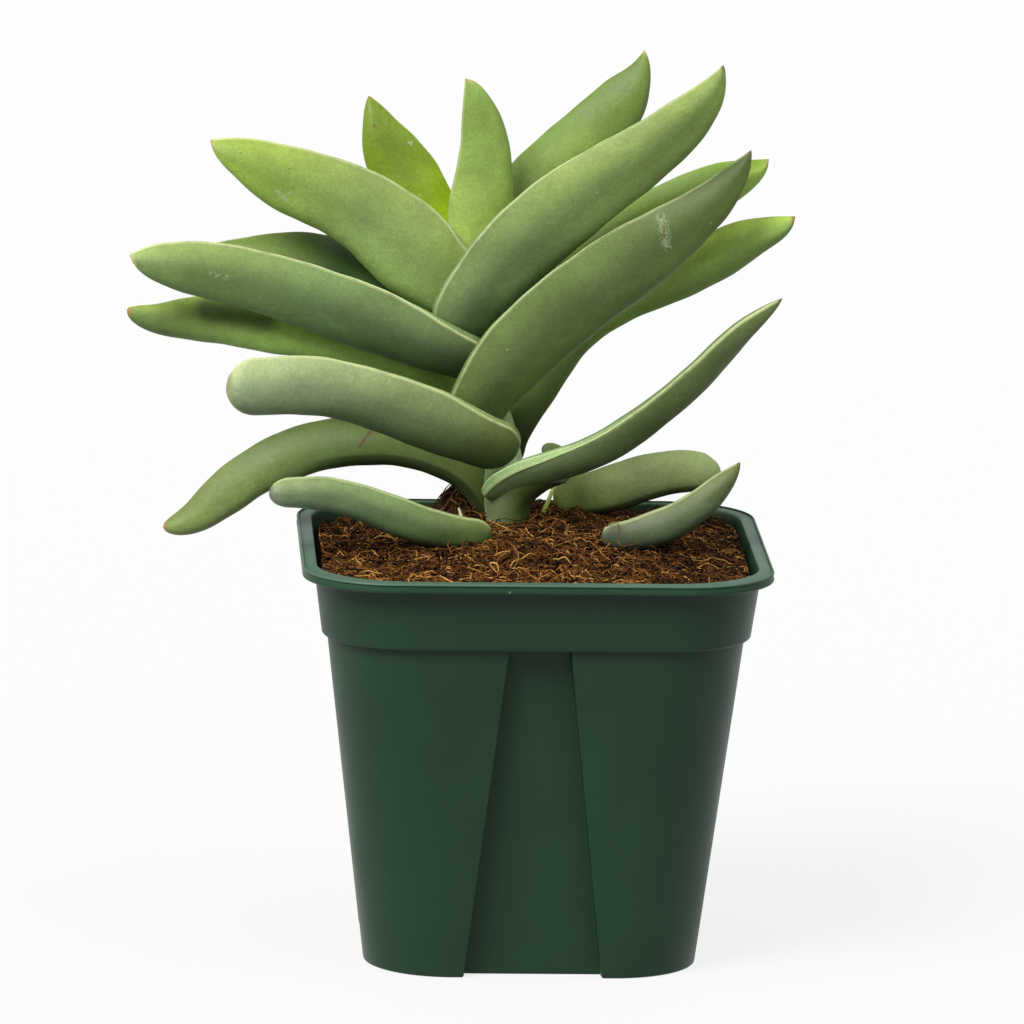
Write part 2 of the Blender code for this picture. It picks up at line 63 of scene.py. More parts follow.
# Middle line from base to tip, and the blade's width at each inner point. front is True where the
# leaf clasps the stem's front; lean (degrees, base to tip) tips its upper edge away from the stem.
# fold and keel are the angles from the upper and lower edge at which the blade creases, at the
# places in CREASE_PLACES. skew moves the closing of the tip from the middle line (0) to the upper
# edge (1). edges sharpens the upper and the lower edge.
LEAVES = {
    "leaf_1_right": dict(
        path=((-11.5, 0, 105.5), (-3, -1.2, 111), (5, -2.5, 113.8), (14.9, -5, 118.1),
              (26.4, -6.5, 126.1), (37.3, -8.5, 136.2), (47.5, -10.3, 147), (56.7, -11, 153.5)),
        widths=(8.8, 9.2, 9.8, 9.4, 8.4, 5.6), thick=5.5, front=True, lean=(40, 40), ends=(6, 22, 0.8),
        skew=0.5, fold=(62, 22, 12, 10), keel=(12, 10, 10, 8), edges=(0.8, 0.8)),
    "leaf_1_left": dict(
        path=((-7, 13.7, 98.4), (-11.5, 13.7, 105.9), (-23, 13.8, 113.6), (-37, 14, 116),
              (-51, 14.5, 114), (-63.5, 15, 108.5), (-73, 15.5, 101.2), (-81, 16, 95.6),
              (-85.5, 16, 94.5)),
        widths=(10.2, 10.9, 11.7, 11.8, 11.2, 9.8, 6), thick=6, front=False, lean=(25, 10),
        ends=(6, 20, 0.52), skew=0, fold=(14, 12, 10, 8), keel=(66, 62, 45, 12), edges=(1.4, 1.2)),
    "leaf_2_left": dict(
        path=((-4, -1.4, 116.1), (-12.5, -3.4, 119.6), (-24.5, -5.4, 124.8), (-38, -7.5, 129.8),
              (-52, -10, 133), (-65, -12.5, 133), (-71.5, -14, 133)),
        widths=(14.5, 16, 14.6, 14.2, 13.7), thick=8, front=True, lean=(30, 5), ends=(6, 7, 0.5),
        skew=0, fold=(30, 16, 8, 8), keel=(12, 12, 10, 8), edges=(1.2, 0.8)),
    "leaf_2_right": dict(
        path=((-6, 13.8, 108.9), (-5, 14.2, 116.9), (0.5, 14.6, 127.5), (7, 14.8, 138.3),
              (15.5, 14.8, 146.6), (26, 14.2, 152.4), (40, 13.6, 159.1), (50.6, 13, 164),
              (60.4, 12.6, 164.7)),
        widths=(9, 10, 10.3, 10.6, 11.2, 11.6, 9.2), thick=7, front=False, lean=(25, 10),
        ends=(6, 18, 0.52), skew=1, fold=(48, 20, 10, 8), keel=(30, 24, 18, 10), edges=(1.7, 1.4)),
    "leaf_3_right": dict(
        path=((-15.5, 0.7, 121.1), (-13, 0.1, 128.1), (-7.8, 0, 136.1), (3, 0.2, 147),
              (14.5, 0.5, 156.2), (26, 1.2, 164.1), (37, 2, 172.2), (45.7, 2.6, 179),
              (51.6, 2.8, 183.1)),
        widths=(16, 18.3, 19.2, 18.4, 16.4, 11.4, 6.8), thick=8, front=True, lean=(30, 5),
        ends=(6, 16, 0.8), skew=1, fold=(26, 14, 8, 6), keel=(10, 10, 10, 8), edges=(1.7, 0.6)),
    "leaf_3_left": dict(
        path=((-13.9, 13.1, 129.9), (-28.5, 11.3, 136.4), (-45, 8.6, 141.3), (-61, 6.3, 143.7),
              (-77.5, 4.4, 145.8), (-90.1, 3.2, 145.7), (-94.8, 3, 146.6)),
        widths=(12, 12.3, 12, 10.5, 5.8), thick=7, front=False, lean=(25, 5), ends=(6, 22, 0.52),
        skew=0.3, fold=(14, 12, 10, 8), keel=(40, 34, 20, 10), edges=(1.7, 1.5)),
    "leaf_4_left": dict(
        path=((-11, 3.7, 136.1), (-18.5, 2.6, 139), (-31.5, 1.3, 144.5), (-52.5, -1, 152.4),
              (-73, -3.5, 158.2), (-85.9, -4.9, 159.2), (-93, -5.6, 157.8)),
        widths=(13, 15.4, 15.6, 13.6, 10.2), thick=8, front=True, lean=(30, 5), ends=(6, 16, 0.55),
        skew=0.7, fold=(42, 12, 7, 6), keel=(12, 12, 10, 8), edges=(1.7, 0.6)),
    "leaf_4_right": dict(
        path=((-13.5, 14.3, 137.5), (-7.5, 14.2, 143.3), (4, 13.4, 152.9), (18, 12, 164.2),
              (32, 10.8, 172.4), (43.6, 9.8, 176.8), (54, 9.3, 177.8)),
        widths=(9, 11, 11.5, 11.8, 10.4), thick=7, front=False, lean=(25, 5), ends=(6, 20, 0.52),
        skew=1, fold=(12, 12, 10, 8), keel=(20, 16, 12, 8), edges=(1.8, 1.5)),
    "leaf_5_right": dict(
        path=((-19, 3.9, 142.1), (-13.5, 2.7, 153.1), (-2, 2.2, 166.1), (11.2, 1.5, 177.1),
              (23.5, 0, 185.8), (34.3, -2.2, 194.2), (41.4, -3.6, 199.3), (45.8, -4.4, 203.1)),
        widths=(17.5, 19.4, 17.8, 14.8, 11.3, 6.8), thick=8, front=True, lean=(25, 5),
        ends=(7, 22, 0.75), skew=1, fold=(26, 16, 8, 6), keel=(10, 10, 10, 8), edges=(1.7, 0.6)),
    "leaf_5_left": dict(
        path=((-17.2, 15.5, 145.9), (-26.5, 14.4, 149.3), (-40.5, 12.8, 154.5), (-54, 11.4, 158.4),
              (-65.9, 10.4, 159.1), (-74.3, 10, 158)),
        widths=(13, 15, 13.4, 7.4), thick=7, front=False, lean=(25, 5), ends=(6, 24, 0.72), skew=0.8,
        fold=(12, 12, 10, 8), keel=(14, 12, 12, 8), edges=(1.8, 1.5)),
    "leaf_6_left": dict(
        path=((-14, 7.5, 152.1), (-19.5, 7.1, 154.7), (-27, 6.5, 160.5), (-36, 5.5, 168.5),
              (-49, 4.5, 175.7), (-62.3, 3.1, 179.2), (-70.2, 2.9, 180), (-74.2, 2.8, 179.4)),
        widths=(17, 20.5, 19.8, 17.2, 14.1, 9), thick=8, front=True, lean=(5, 5), ends=(6, 26, 0.52),
        skew=1, fold=(20, 8, 6, 6), keel=(10, 10, 10, 8), edges=(1.7, 0.6)),
    "leaf_6_right": dict(
        path=((-16.5, 15, 158.5), (-9.2, 17.4, 167.6), (-0.5, 20, 176.5), (10.5, 22, 186),
              (21.8, 24.4, 195.7), (26.7, 25.3, 200.6), (29.2, 25.6, 203.6)),
        widths=(9.5, 12.6, 13, 11.3, 5.3), thick=6.5, front=False, lean=(20, 5), ends=(6, 16, 0.75),
        skew=1, fold=(14, 12, 10, 8), keel=(12, 12, 10, 8), edges=(1.3, 0.7)),
    "leaf_7_right": dict(
        path=((-17, 10, 158.5), (-16, 10, 163), (-13.5, 9.5, 170.5), (-12.2, 9.5, 179.5),
              (-11.6, 9.6, 189), (-11.5, 9.2, 197.8), (-11.2, 9.5, 201.2)),
        widths=(10, 14, 13.4, 10.7, 6), thick=6, front=True, lean=(5, 5), ends=(5, 24, 0.5), skew=1,
        fold=(10, 10, 8, 8), keel=(14, 12, 10, 8), edges=(1.7, 0.6)),
    "leaf_7_left": dict(
        path=((-19, 13.5, 163), (-23, 14.5, 168.5), (-28.5, 16, 176), (-33.7, 17.5, 183.5),
              (-37.5, 19, 190.8), (-39.8, 19.9, 195.6)),
        widths=(12.3, 14.6, 13.4, 6.6), thick=5.5, front=False, lean=(10, 5), ends=(6, 15, 0.85),
        skew=0.2, fold=(12, 12, 10, 10), keel=(46, 50, 50, 50), edges=(1.8, 1.6)),
    "leaf_low_left": dict(
        path=((-10, -10, 98.6), (-13.5, -10.5, 98.8), (-20.5, -11, 99.4), (-31, -12, 102.5),
              (-43, -13, 107), (-51.5, -14, 108.5), (-59, -14.5, 108.5), (-61.5, -15, 108.5)),
        widths=(6.6, 8.3, 9.1, 8.3, 7.7, 6.1), thick=7, front=True, lean=(0, 0), ends=(4, 5, 0.5),
        skew=0, fold=(18, 16, 14, 10), keel=(10, 10, 10, 8), edges=(1.3, 1.1)),
    "leaf_low_back": dict(
        path=((5.5, 17, 102), (10, 18, 102.4), (18, 20, 103.6), (28.5, 22.5, 106.5), (39, 24.5, 107.5),
              (43, 25.5, 107.5), (45, 26, 108)),
        widths=(9.6, 11, 10.8, 9.5, 6.8), thick=7, front=False, lean=(0, 0), ends=(5, 5, 0.5), skew=0,
        fold=(12, 12, 12, 10), keel=(24, 50, 46, 30), edges=(1.3, 1.1)),
    "leaf_low_front": dict(
        path=((15.5, -11, 99), (18, -10.5, 98.5), (24.5, -9.5, 99), (32, -8.5, 101.5),
              (38.5, -7, 105.5), (43.2, -6, 109.2), (48.8, -5, 113.1)),
        widths=(6.2, 8, 8.2, 7.3, 5.6), thick=6.5, front=True, lean=(0, 0), ends=(3, 12, 0.75),
        skew=0.7, fold=(22, 18, 14, 10), keel=(10, 10, 10, 8), edges=(1.3, 1.1)),
}

SPROUT = dict(thick=1.8, front=False, lean=(0, 0), ends=(2, 2, 0.5), skew=0,
              fold=(12, 12, 12, 10), keel=(12, 12, 12, 10), edges=(1.2, 1.2))
SEEDLING_LEAVES = {
    "seedling_leaf_1": dict(
        path=((5.8, 9, 107.6), (8, 9, 110.7), (6.6, 9, 113.9), (2.2, 9, 115.1)), widths=(2.4, 3.4), **SPROUT),
    "seedling_leaf_2": dict(
        path=((6, 10.2, 107.2), (7.2, 11, 107.9), (8.6, 11.6, 109), (9.6, 11.8, 110.2)), widths=(2, 2.4),
        **SPROUT),
}

EDGE_THIN = 0.3            # how much thinner a blade's upper edge is than its lower one
CUP = 0.02                 # hollow of the blade, as a share of its width
BASE_THIN = 0.55           # thickness at the clasping base, as a share of the blade's
BASE_LENGTH = 16.0         # distance over which the base swells to the full thickness
CREASE_PLACES = (0.0, 0.3, 0.6, 1.0)
STRIP_COLUMNS = 7          # columns of the grid between an edge and its crease
FACET_HOLLOW = 0.7         # hollow of the strip beside a crease, against its own arc
RIDGE_TURN = 0.075         # half width of a crease's ridge, in radians of turn round the section
FACE_COLUMNS = 26          # columns across the front and across the back
FAR = 9.0                  # a distance past which the margin's line never shows

# Stem and small pieces: points and radii of their middle lines, from the soil up.
STEMS = {
    "stem": dict(
        path=((-5.5, 8.0, 84.0), (-5.5, 8.0, 97.0), (-6.0, 7.7, 104.0), (-7.5, 8.3, 119.0),
              (-13.0, 10.2, 135.0), (-17.2, 12.2, 150.0), (-18.5, 13.5, 162.5)),
        radii=(4.2, 4.8, 5.0, 3.7, 3.3, 2.7, 1.9), rough=0.12, finish="stem_green", slot="green_stem"),
    "old_stem_stub": dict(
        path=((-16.5, 20.0, 88.0), (-16.5, 20.0, 96.0), (-16.0, 20.0, 100.5), (-15.5, 20.0, 104.0)),
        radii=(4.8, 5.8, 4.6, 1.8), rough=0.7, finish="stub_bark", slot="dry_bark"),
    "dry_twig": dict(
        path=((-15.5, 3.5, 92.0), (-15.9, 4.0, 98.0), (-17.0, 5.0, 101.8)),
        radii=(0.4, 0.4, 0.3), rough=0.05, finish="dry_straw", slot="dry_stalk"),
    "seedling_stalk": dict(
        path=((2.0, 8.0, 91.0), (2.2, 8.0, 98.5), (4.0, 8.5, 103.0), (5.5, 9.0, 107.5)),
        radii=(0.6, 0.6, 0.5, 0.45), rough=0.02, finish="seedling_green", slot="seedling"),
}

STEM_GRID = (120, 48)        # rings and columns
THIN_STALK_GRID = (40, 16)
FOOT_GRID = (60, 48)
THIN_STALK = 1.0             # stalks up to this radius have the coarser grid
STEM_SEED = 30
STEM_SHARP = 50              # degrees past which an edge is shaded as sharp

# Where the front leaf's base flows into the stem's foot: height, centre and half sizes of ellipses.
FOOT = (
    (88.0, -5.5, 6.5, 5.2, 5.0), (96.5, -5.5, 5.5, 5.3, 5.2), (99.0, -5.4, 5.0, 5.1, 5.0),
    (101.5, -5.6, 4.2, 5.0, 4.6), (104.0, -5.2, 3.2, 5.6, 4.0), (106.0, -4.0, 2.0, 6.4, 3.2),
    (107.5, -2.5, 1.0, 7.0, 2.6), (109.0, 0.0, 0.2, 8.0, 2.0),
)

# Pot: the moulding's driving dimensions.
POT_HEIGHT = 95.0
LIP_HALF = 54.0
LIP_HEIGHT = 2.4
LIP_CORNER = 21.4
COLLAR_Z = 78.5
COLLAR_HALF_TOP = 51.1
COLLAR_HALF_BOTTOM = 49.2
COLLAR_CORNER = 21.8
BODY_HALF_TOP = 47.9
BODY_HALF_BOTTOM = 38.4
BODY_CORNER_TOP = 21.6
BODY_CORNER_BOTTOM = 19.8
WALL = 0.8
FLOOR = 1.6
RECESS_DEPTH = 4.0
RECESS_HALF_TOP = 7.1
RECESS_HALF_BOTTOM = 16.0
RECESS_SLOPE = 0.5
DRAIN_RADIUS = 4.5
DRAIN_OFFSET = 20.0
FLAT_MARGIN = 0.3          # flat ring of the underside, inside its rounded edge
LIP_ROOT_FLARE = 0.15      # how much the collar widens where it meets the lip
SLOPE_COLUMNS = 9          # columns of the moulding's grid over a recess's slope,
SIDE_COLUMNS = 12          # on each flat stretch of a side,
CORNER_COLUMNS = 22        # and round a corner, its two ends included
FILLET_RINGS = 6
BODY_RINGS = 40
COLLAR_RINGS = 8
DRAIN_VERTICES = 48

# Soil: a flat bed with a low mound round the stem.
SOIL_EDGE_Z = 90.5
SOIL_MOUND = 8.0
SOIL_MOUND_CENTRE = (0.0, 10.0)
SOIL_MOUND_RADIUS = 34.0
SOIL_CLEARANCE = 0.3
SOIL_PIT = 6.0
SOIL_PIT_CENTRE = (-37.0, 34.0)
SOIL_PIT_RADIUS = 8.0
CRUST_LIFT = -0.6          # the crust's mean height over the bed
CRUST_GRID = (110, 300)    # rings and columns
CRUST_DEPTH = 6.0          # from the bed's edge down to the crust's flat underside
BISECTIONS = 30            # halvings that find the pot's wall along a ray
FIBRE_LAYERS = ((-0.9, 0.3), (-0.4, 0.8), (0.0, 1.5))    # lowest and highest lift in each layer
STUB_RISE = 6.6            # height of the coir that clings to the old stub
STUB_RISE_RADIUS = 5.6

# Single strands that lie loose: points, radius and shade.
STRAYS = (
    (((-9.8, -35.5, 94.3), (-10.6, -35, 95.3), (-11.2, -35, 96.2), (-10.2, -35.5, 96.5), (-9.4, -36, 95.6),
      (-9.6, -36.5, 94.0)), 0.20, 1.0),
    (((-5.5, -32, 95.0), (-4.6, -32, 97.2), (-5.4, -32, 99.2), (-6.6, -31.5, 100.3)), 0.14, 0.85),
    (((-11.5, -12.5, 102.6), (-8.5, -14, 101.4), (-5.5, -15.5, 100.4), (-3.0, -16, 99.2)), 0.16, 0.8),
    (((13.5, -13, 99.0), (16.5, -15.5, 102.0), (18.2, -16, 102.8), (19.2, -16, 101.2), (19.0, -16, 98.4),
      (20.4, -17, 97.2), (24.0, -17, 98.2)), 0.12, 0.75),
    (((12.0, -12, 98.6), (15.0, -14.5, 100.8), (17.4, -15.5, 102.0), (20.0, -15.5, 103.2)), 0.12, 0.6),
    (((4.0, -20, 97.6), (9.0, -21, 99.4), (13.0, -22, 99.8), (17.0, -22, 98.6)), 0.13, 0.7),
)


# ---------------------------------------------------------------------------------------------
# Settings
# ---------------------------------------------------------------------------------------------

class LeafSettings(PropertyGroup):
    """Sizes and colours of the leaves."""

    rings: IntProperty(name="Rings", description="Sections along a leaf", default=96, min=12)
    fold_height: FloatProperty(
        name="Fold height", description="How far a crease stands above the blade",
        default=0.00028, unit="LENGTH")
    wave: FloatProperty(
        name="Wave", description="Height of the slow unevenness of a blade",
        default=0.00014, unit="LENGTH")
    # The crease's pale line is partly a margin and partly a painted highlight.
    margin_highlight_colour: FloatVectorProperty(
        name="Margin", description="Colour of the thin line along a blade's crease",
        default=(0.31, 0.35, 0.16), subtype="COLOR", size=3)
    scratch_colour: FloatVectorProperty(
        name="Scratch", description="Colour of rubbed bloom", default=(0.24, 0.28, 0.18),
        subtype="COLOR", size=3)


class PotSettings(PropertyGroup):
    """Finish of the moulded pot."""

    fillet: FloatProperty(
        name="Fillet", description="Rounding of the moulding's edges", default=0.0005, unit="LENGTH")
    colour: FloatVectorProperty(
        name="Colour", description="Colour of the plastic", default=(0.0045, 0.0198, 0.0082),
        subtype="COLOR", size=3)
    roughness: FloatProperty(
        name="Roughness", description="Roughness of the plastic", default=0.42, subtype="FACTOR")


class SoilSettings(PropertyGroup):
    """Colours and amount of the coir."""

    seed: IntProperty(name="Seed", description="Seed of the scattering", default=7)
    fibres: IntProperty(name="Fibres", description="Number of fine fibres", default=9900, min=1)
    strands: IntProperty(name="Strands", description="Number of long strands", default=420, min=1)
    crumbs: IntProperty(name="Crumbs", description="Number of crumbs", default=2600, min=1)
    relief: FloatProperty(
        name="Relief", description="Height of the bed's lumps", default=0.0022, unit="LENGTH")
    dark: FloatVectorProperty(
        name="Dark", description="Darkest fibre", default=(0.003, 0.0012, 0.0003), subtype="COLOR", size=3)
    brown: FloatVectorProperty(
        name="Brown", description="Usual fibre", default=(0.058, 0.022, 0.0045), subtype="COLOR", size=3)
    tan: FloatVectorProperty(
        name="Tan", description="Palest fibre", default=(0.34, 0.18, 0.046), subtype="COLOR", size=3)


class StageSettings(PropertyGroup):
    """Camera, lights and floor."""

    azimuth: FloatProperty(
        name="Azimuth", description="Direction that the camera looks from, round +Z from the front",
        default=math.radians(-2.6527), subtype="ANGLE")
    elevation: FloatProperty(
        name="Elevation", description="Height of the camera's direction", default=math.radians(10.418),
        subtype="ANGLE")
    roll: FloatProperty(
        name="Roll", description="Turn of the camera about its own axis", default=math.radians(0.9991),
        subtype="ANGLE")
    distance: FloatProperty(
        name="Distance", description="From the camera to the plane through its target",
        default=2.21069, unit="LENGTH")
    across: FloatProperty(
        name="Across", description="Sideways shift of the camera", default=-0.003071, unit="LENGTH")
    height: FloatProperty(
        name="Height", description="Upward shift of the camera", default=0.100205, unit="LENGTH")
    lens: FloatProperty(name="Lens", description="Focal length in millimetres", default=332.43)
    key: FloatProperty(name="Key", description="Strength of the key light", default=5.6)
    fill: FloatProperty(name="Fill", description="Strength of the light from the right", default=1.6)
    side: FloatProperty(name="Side", description="Strength of the light from the left", default=1.0)
    surround: FloatProperty(name="Surround", description="Strength of the white surround", default=0.62)
    floor_colour: FloatVectorProperty(
        name="Floor", description="Colour of the floor", default=(0.06, 0.06, 0.06),
        subtype="COLOR", size=3)
    floor_glow: FloatProperty(name="Floor glow", description="Light that the floor gives out", default=0.815)


# ---------------------------------------------------------------------------------------------
# Mesh helpers
# ---------------------------------------------------------------------------------------------

def ring_quads(rows, columns):
    """Quads between each closed ring of points and the next one, as an array of corners."""
    k = np.arange(columns)
    after = (k + 1) % columns
    low = np.arange(rows - 1)[:, None] * columns
    return np.stack((low + k, low + after, low + columns + after, low + columns + k), -1).reshape(-1, 4)


def pole_fan(ring_start, columns, pole, turned):
    """Triangles from one closed ring to a pole; turned swaps their direction."""
    k = ring_start + np.arange(columns)
    after = ring_start + (np.arange(columns) + 1) % columns
    first, second = (after, k) if turned else (k, after)
    return np.stack((first, second, np.full(columns, pole)), -1)


def tube_faces(rings, columns):
    """Quads between a tube's rings, and a fan from each end ring to its pole; the poles come last."""
    count = rings * columns
    return [ring_quads(rings, columns), pole_fan(0, columns, count, True),
            pole_fan(count - columns, columns, count + 1, False)]


def signed_volume(points, faces):
    """Volume that the faces enclose, positive where they point outwards."""
    total = 0.0
    for group in faces:
        for k in range(1, group.shape[1] - 1):
            a, b, c = points[group[:, 0]], points[group[:, k]], points[group[:, k + 1]]
            total += np.einsum("ij,ij->", a, np.cross(b, c)) / 6
    return total


def add_piece(name, points, faces, attributes=None, sharp=USUAL_SHARP):
    """Put a closed surface into the scene: points in millimetres, faces as arrays of equal corners.

    An attribute holds one number for each point. Edges past sharp degrees are shaded as sharp.
    """
    if signed_volume(points, faces) < 0:
        faces = [group[:, ::-1] for group in faces]
    mesh = bpy.data.meshes.new(name)
    corners = np.concatenate([group.ravel() for group in faces])
    sizes = np.concatenate([np.full(len(group), group.shape[1]) for group in faces])
    mesh.vertices.add(len(points))
    mesh.vertices.foreach_set("co", (points * MM).astype(np.float32).ravel())
    mesh.loops.add(len(corners))
    mesh.loops.foreach_set("vertex_index", corners.astype(np.int32))
    mesh.polygons.add(len(sizes))
    mesh.polygons.foreach_set("loop_start", (np.cumsum(sizes) - sizes).astype(np.int32))
    mesh.update(calc_edges=True)
    for key, values in (attributes or {}).items():
        mesh.attributes.new(key, "FLOAT", "POINT").data.foreach_set("value", values.astype(np.float32))
    mesh.shade_smooth()
    if sharp:
        mesh.set_sharp_from_angle(angle=math.radians(sharp))
    piece = bpy.data.objects.new(name, mesh)
    bpy.context.scene.collection.objects.link(piece)
    return piece


def dress(piece, material, slot, *nodes):
    """Give a piece its material, let it ride on the plant's body, and let it stand for solids."""
    piece.data.materials.clear()
    piece.data.materials.append(material)
    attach(piece, "root")
    if nodes:
        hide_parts(*nodes)


def smooth_line(knots, values, at):
    """Natural cubic spline through values at knots: zero bend at both ends, read at the places in at."""
    knots = np.asarray(knots, float)
    values = np.asarray(values, float)
    gaps = np.diff(knots)
    inner = np.arange(1, len(knots) - 1)
    system = np.eye(len(knots))
    system[inner, inner - 1] = gaps[:-1]
    system[inner, inner] = 2 * (gaps[:-1] + gaps[1:])
    system[inner, inner + 1] = gaps[1:]
    slopes = np.diff(values, axis=0) / gaps.reshape(-1, *[1] * (values.ndim - 1))
    right = np.zeros_like(values)
    right[inner] = 6 * (slopes[1:] - slopes[:-1])
    bend = np.linalg.solve(system, right)
    i = np.clip(np.searchsorted(knots, at) - 1, 0, len(knots) - 2)
    shape = (-1, *[1] * (values.ndim - 1))
    a = ((knots[i + 1] - at) / gaps[i]).reshape(shape)
    b = 1 - a
    span = (gaps[i] ** 2 / 6).reshape(shape)
    return a * values[i] + b * values[i + 1] + ((a**3 - a) * bend[i] + (b**3 - b) * bend[i + 1]) * span


def chord_knots(path):
    """Distance along the straight chords from a path's first point to each of its points."""
    return np.append(0, np.cumsum(np.linalg.norm(np.diff(path, axis=0), axis=1)))


def ease(count):
    """count places from 0 to just under 1, closer together at both ends."""
    return (1 - np.cos(math.pi * np.arange(count) / count)) / 2


def lattice_noise(points, cell, seed):
    """Smooth noise from -1 to 1: random values on a cubic lattice, blended with smoothstep weights."""
    rng = np.random.default_rng(seed)
    table = rng.uniform(-1, 1, 4096)
    where = points / cell
    base = np.floor(where).astype(int)
    part = where - base
    weight = part * part * (3 - 2 * part)
    total = np.zeros(len(points))
    for corner in np.ndindex(2, 2, 2):
        index = base + corner
        key = (index[:, 0] * 73856093) ^ (index[:, 1] * 19349663) ^ (index[:, 2] * 83492791)
        share = np.prod(np.where(corner, weight, 1 - weight), axis=1)
        total += share * table[key % 4096]
    return total


# ---------------------------------------------------------------------------------------------
# Material helpers
# ---------------------------------------------------------------------------------------------

class Tree:
    """A material's node tree; a socket given as a value is linked, and anything else is set."""

    def __init__(self, name):
        self.material = bpy.data.materials.new(name)
        self.material.use_nodes = True
        self.nodes = self.material.node_tree.nodes
        self.links = self.material.node_tree.links
        self.shader = self.nodes["Principled BSDF"]
        self.place = self.add("ShaderNodeTexCoord").outputs["Object"]

    def feed(self, socket, value):
        """Link or set one input."""
        if isinstance(value, bpy.types.NodeSocket):
            self.links.new(value, socket)
        elif socket.type == "RGBA" and len(value) == 3:
            socket.default_value = (*value, 1.0)
        else:
            socket.default_value = value

    def add(self, kind, inputs=(), **settings):
        """Add a node, set its options, and feed its inputs by name or number."""
        made = self.nodes.new(kind)
        for key, value in settings.items():
            setattr(made, key, value)
        for key, value in dict(inputs).items():
            self.feed(made.inputs[key], value)
        return made

    def math(self, operation, a, b=0.0, clamp=False):
        """One arithmetic step."""
        return self.add("ShaderNodeMath", {0: a, 1: b}, operation=operation, use_clamp=clamp).outputs[0]

    def times(self, a, b):
        """Product of two numbers."""
        return self.math("MULTIPLY", a, b)

    def between(self, value, low, high, to_low=0.0, to_high=1.0):
        """Smooth step of value from low to high."""
        inputs = {"Value": value, "From Min": low, "From Max": high, "To Min": to_low, "To Max": to_high}
        return self.add("ShaderNodeMapRange", inputs, interpolation_type="SMOOTHSTEP").outputs[0]

    def noise(self, size, detail=2.0, warp=0.0, rough=0.5):
        """Noise whose features are about size metres across."""
        inputs = {"Vector": self.place, "Scale": 1 / size, "Detail": detail,
                  "Roughness": rough, "Distortion": warp}
        return self.add("ShaderNodeTexNoise", inputs).outputs["Fac"]

    def mix(self, factor, a, b, kind="MIX"):
        """Blend two colours."""
        made = self.add("ShaderNodeMix", data_type="RGBA", blend_type=kind)
        self.feed(made.inputs[0], factor)
        self.feed(made.inputs[6], a)
        self.feed(made.inputs[7], b)
        return made.outputs[2]

    def shade(self, colour, value):
        """A colour times a number."""
        grey = self.add("ShaderNodeCombineColor", {0: value, 1: value, 2: value}).outputs[0]
        return self.mix(1.0, colour, grey, "MULTIPLY")

    def attribute(self, name):
        """One of the piece's attributes."""
        return self.add("ShaderNodeAttribute", attribute_name=name).outputs["Fac"]

    def place_parts(self):
        """The three coordinates of a point."""
        return self.add("ShaderNodeSeparateXYZ", {0: self.place}).outputs

    def ramp(self, value, stops):
        """Colours at places from 0 to 1."""
        made = self.add("ShaderNodeValToRGB", {0: value})
        band = made.color_ramp
        band.elements[0].position, band.elements[1].position = stops[0][0], stops[-1][0]
        band.elements[0].color, band.elements[1].color = (*stops[0][1], 1), (*stops[-1][1], 1)
        for place, colour in stops[1:-1]:
            band.elements.new(place).color = (*colour, 1)
        return made.outputs[0]

    def finish(self, colour, roughness, height=None, relief=0.0, **constants):
        """Feed the shader: colour, roughness, bump of relief metres, and constants on its own sockets."""
        self.feed(self.shader.inputs["Base Color"], colour)
        self.feed(self.shader.inputs["Roughness"], roughness)
        if height is not None:
            bump = self.add("ShaderNodeBump", {"Height": height, "Distance": relief, "Strength": 1.0})
            self.feed(self.shader.inputs["Normal"], bump.outputs[0])
        for key, value in constants.items():
            self.shader.inputs[key.replace("_", " ")].default_value = value
        return self.material


# ---------------------------------------------------------------------------------------------
# Leaves
# ---------------------------------------------------------------------------------------------

# Greens of the skins, linear, for a brightness of 1.
GREENS = {
    "silver": (0.76, 1.0, 0.50),
    "sage": (0.70, 1.0, 0.42),
    "moss": (0.60, 1.0, 0.34),
    "straw": (0.78, 1.0, 0.34),
    "leaf": (0.66, 1.0, 0.26),
    "olive": (0.73, 1.0, 0.20),
    "grass": (0.64, 1.0, 0.17),
    "fern": (0.42, 1.0, 0.18),
    "apple": (0.65, 1.0, 0.12),
    "spring": (0.64, 1.0, 0.015),
}

# What an upper or a lower side multiplies its green by, for a strength of 1: painted light and painted shade,
# which make a side paler or darker.
SIDE_LIGHT_CASTS = {
    "plain": (1.0, 1.0, 1.0),
    "warm": (1.09, 1.0, 0.90),
    "yellow": (1.0, 1.0, 0.80),
    "green": (0.90, 1.0, 0.66),
    "fresh": (0.94, 1.0, 0.93),
    "cool": (0.98, 1.0, 1.30),
}

# Colours of a blade's very tip.
TIPS = {
    "brown": (0.08, 0.04, 0.013),
    "tan": (0.18, 0.10, 0.022),
    "mustard": (0.15, 0.13, 0.015),
    "straw": (0.21, 0.19, 0.044),
    "cream": (0.25, 0.24, 0.08),
    "pale": (0.155, 0.18, 0.08),
    "grey": (0.08, 0.10, 0.06),
    "green": (0.08, 0.11, 0.03),
}
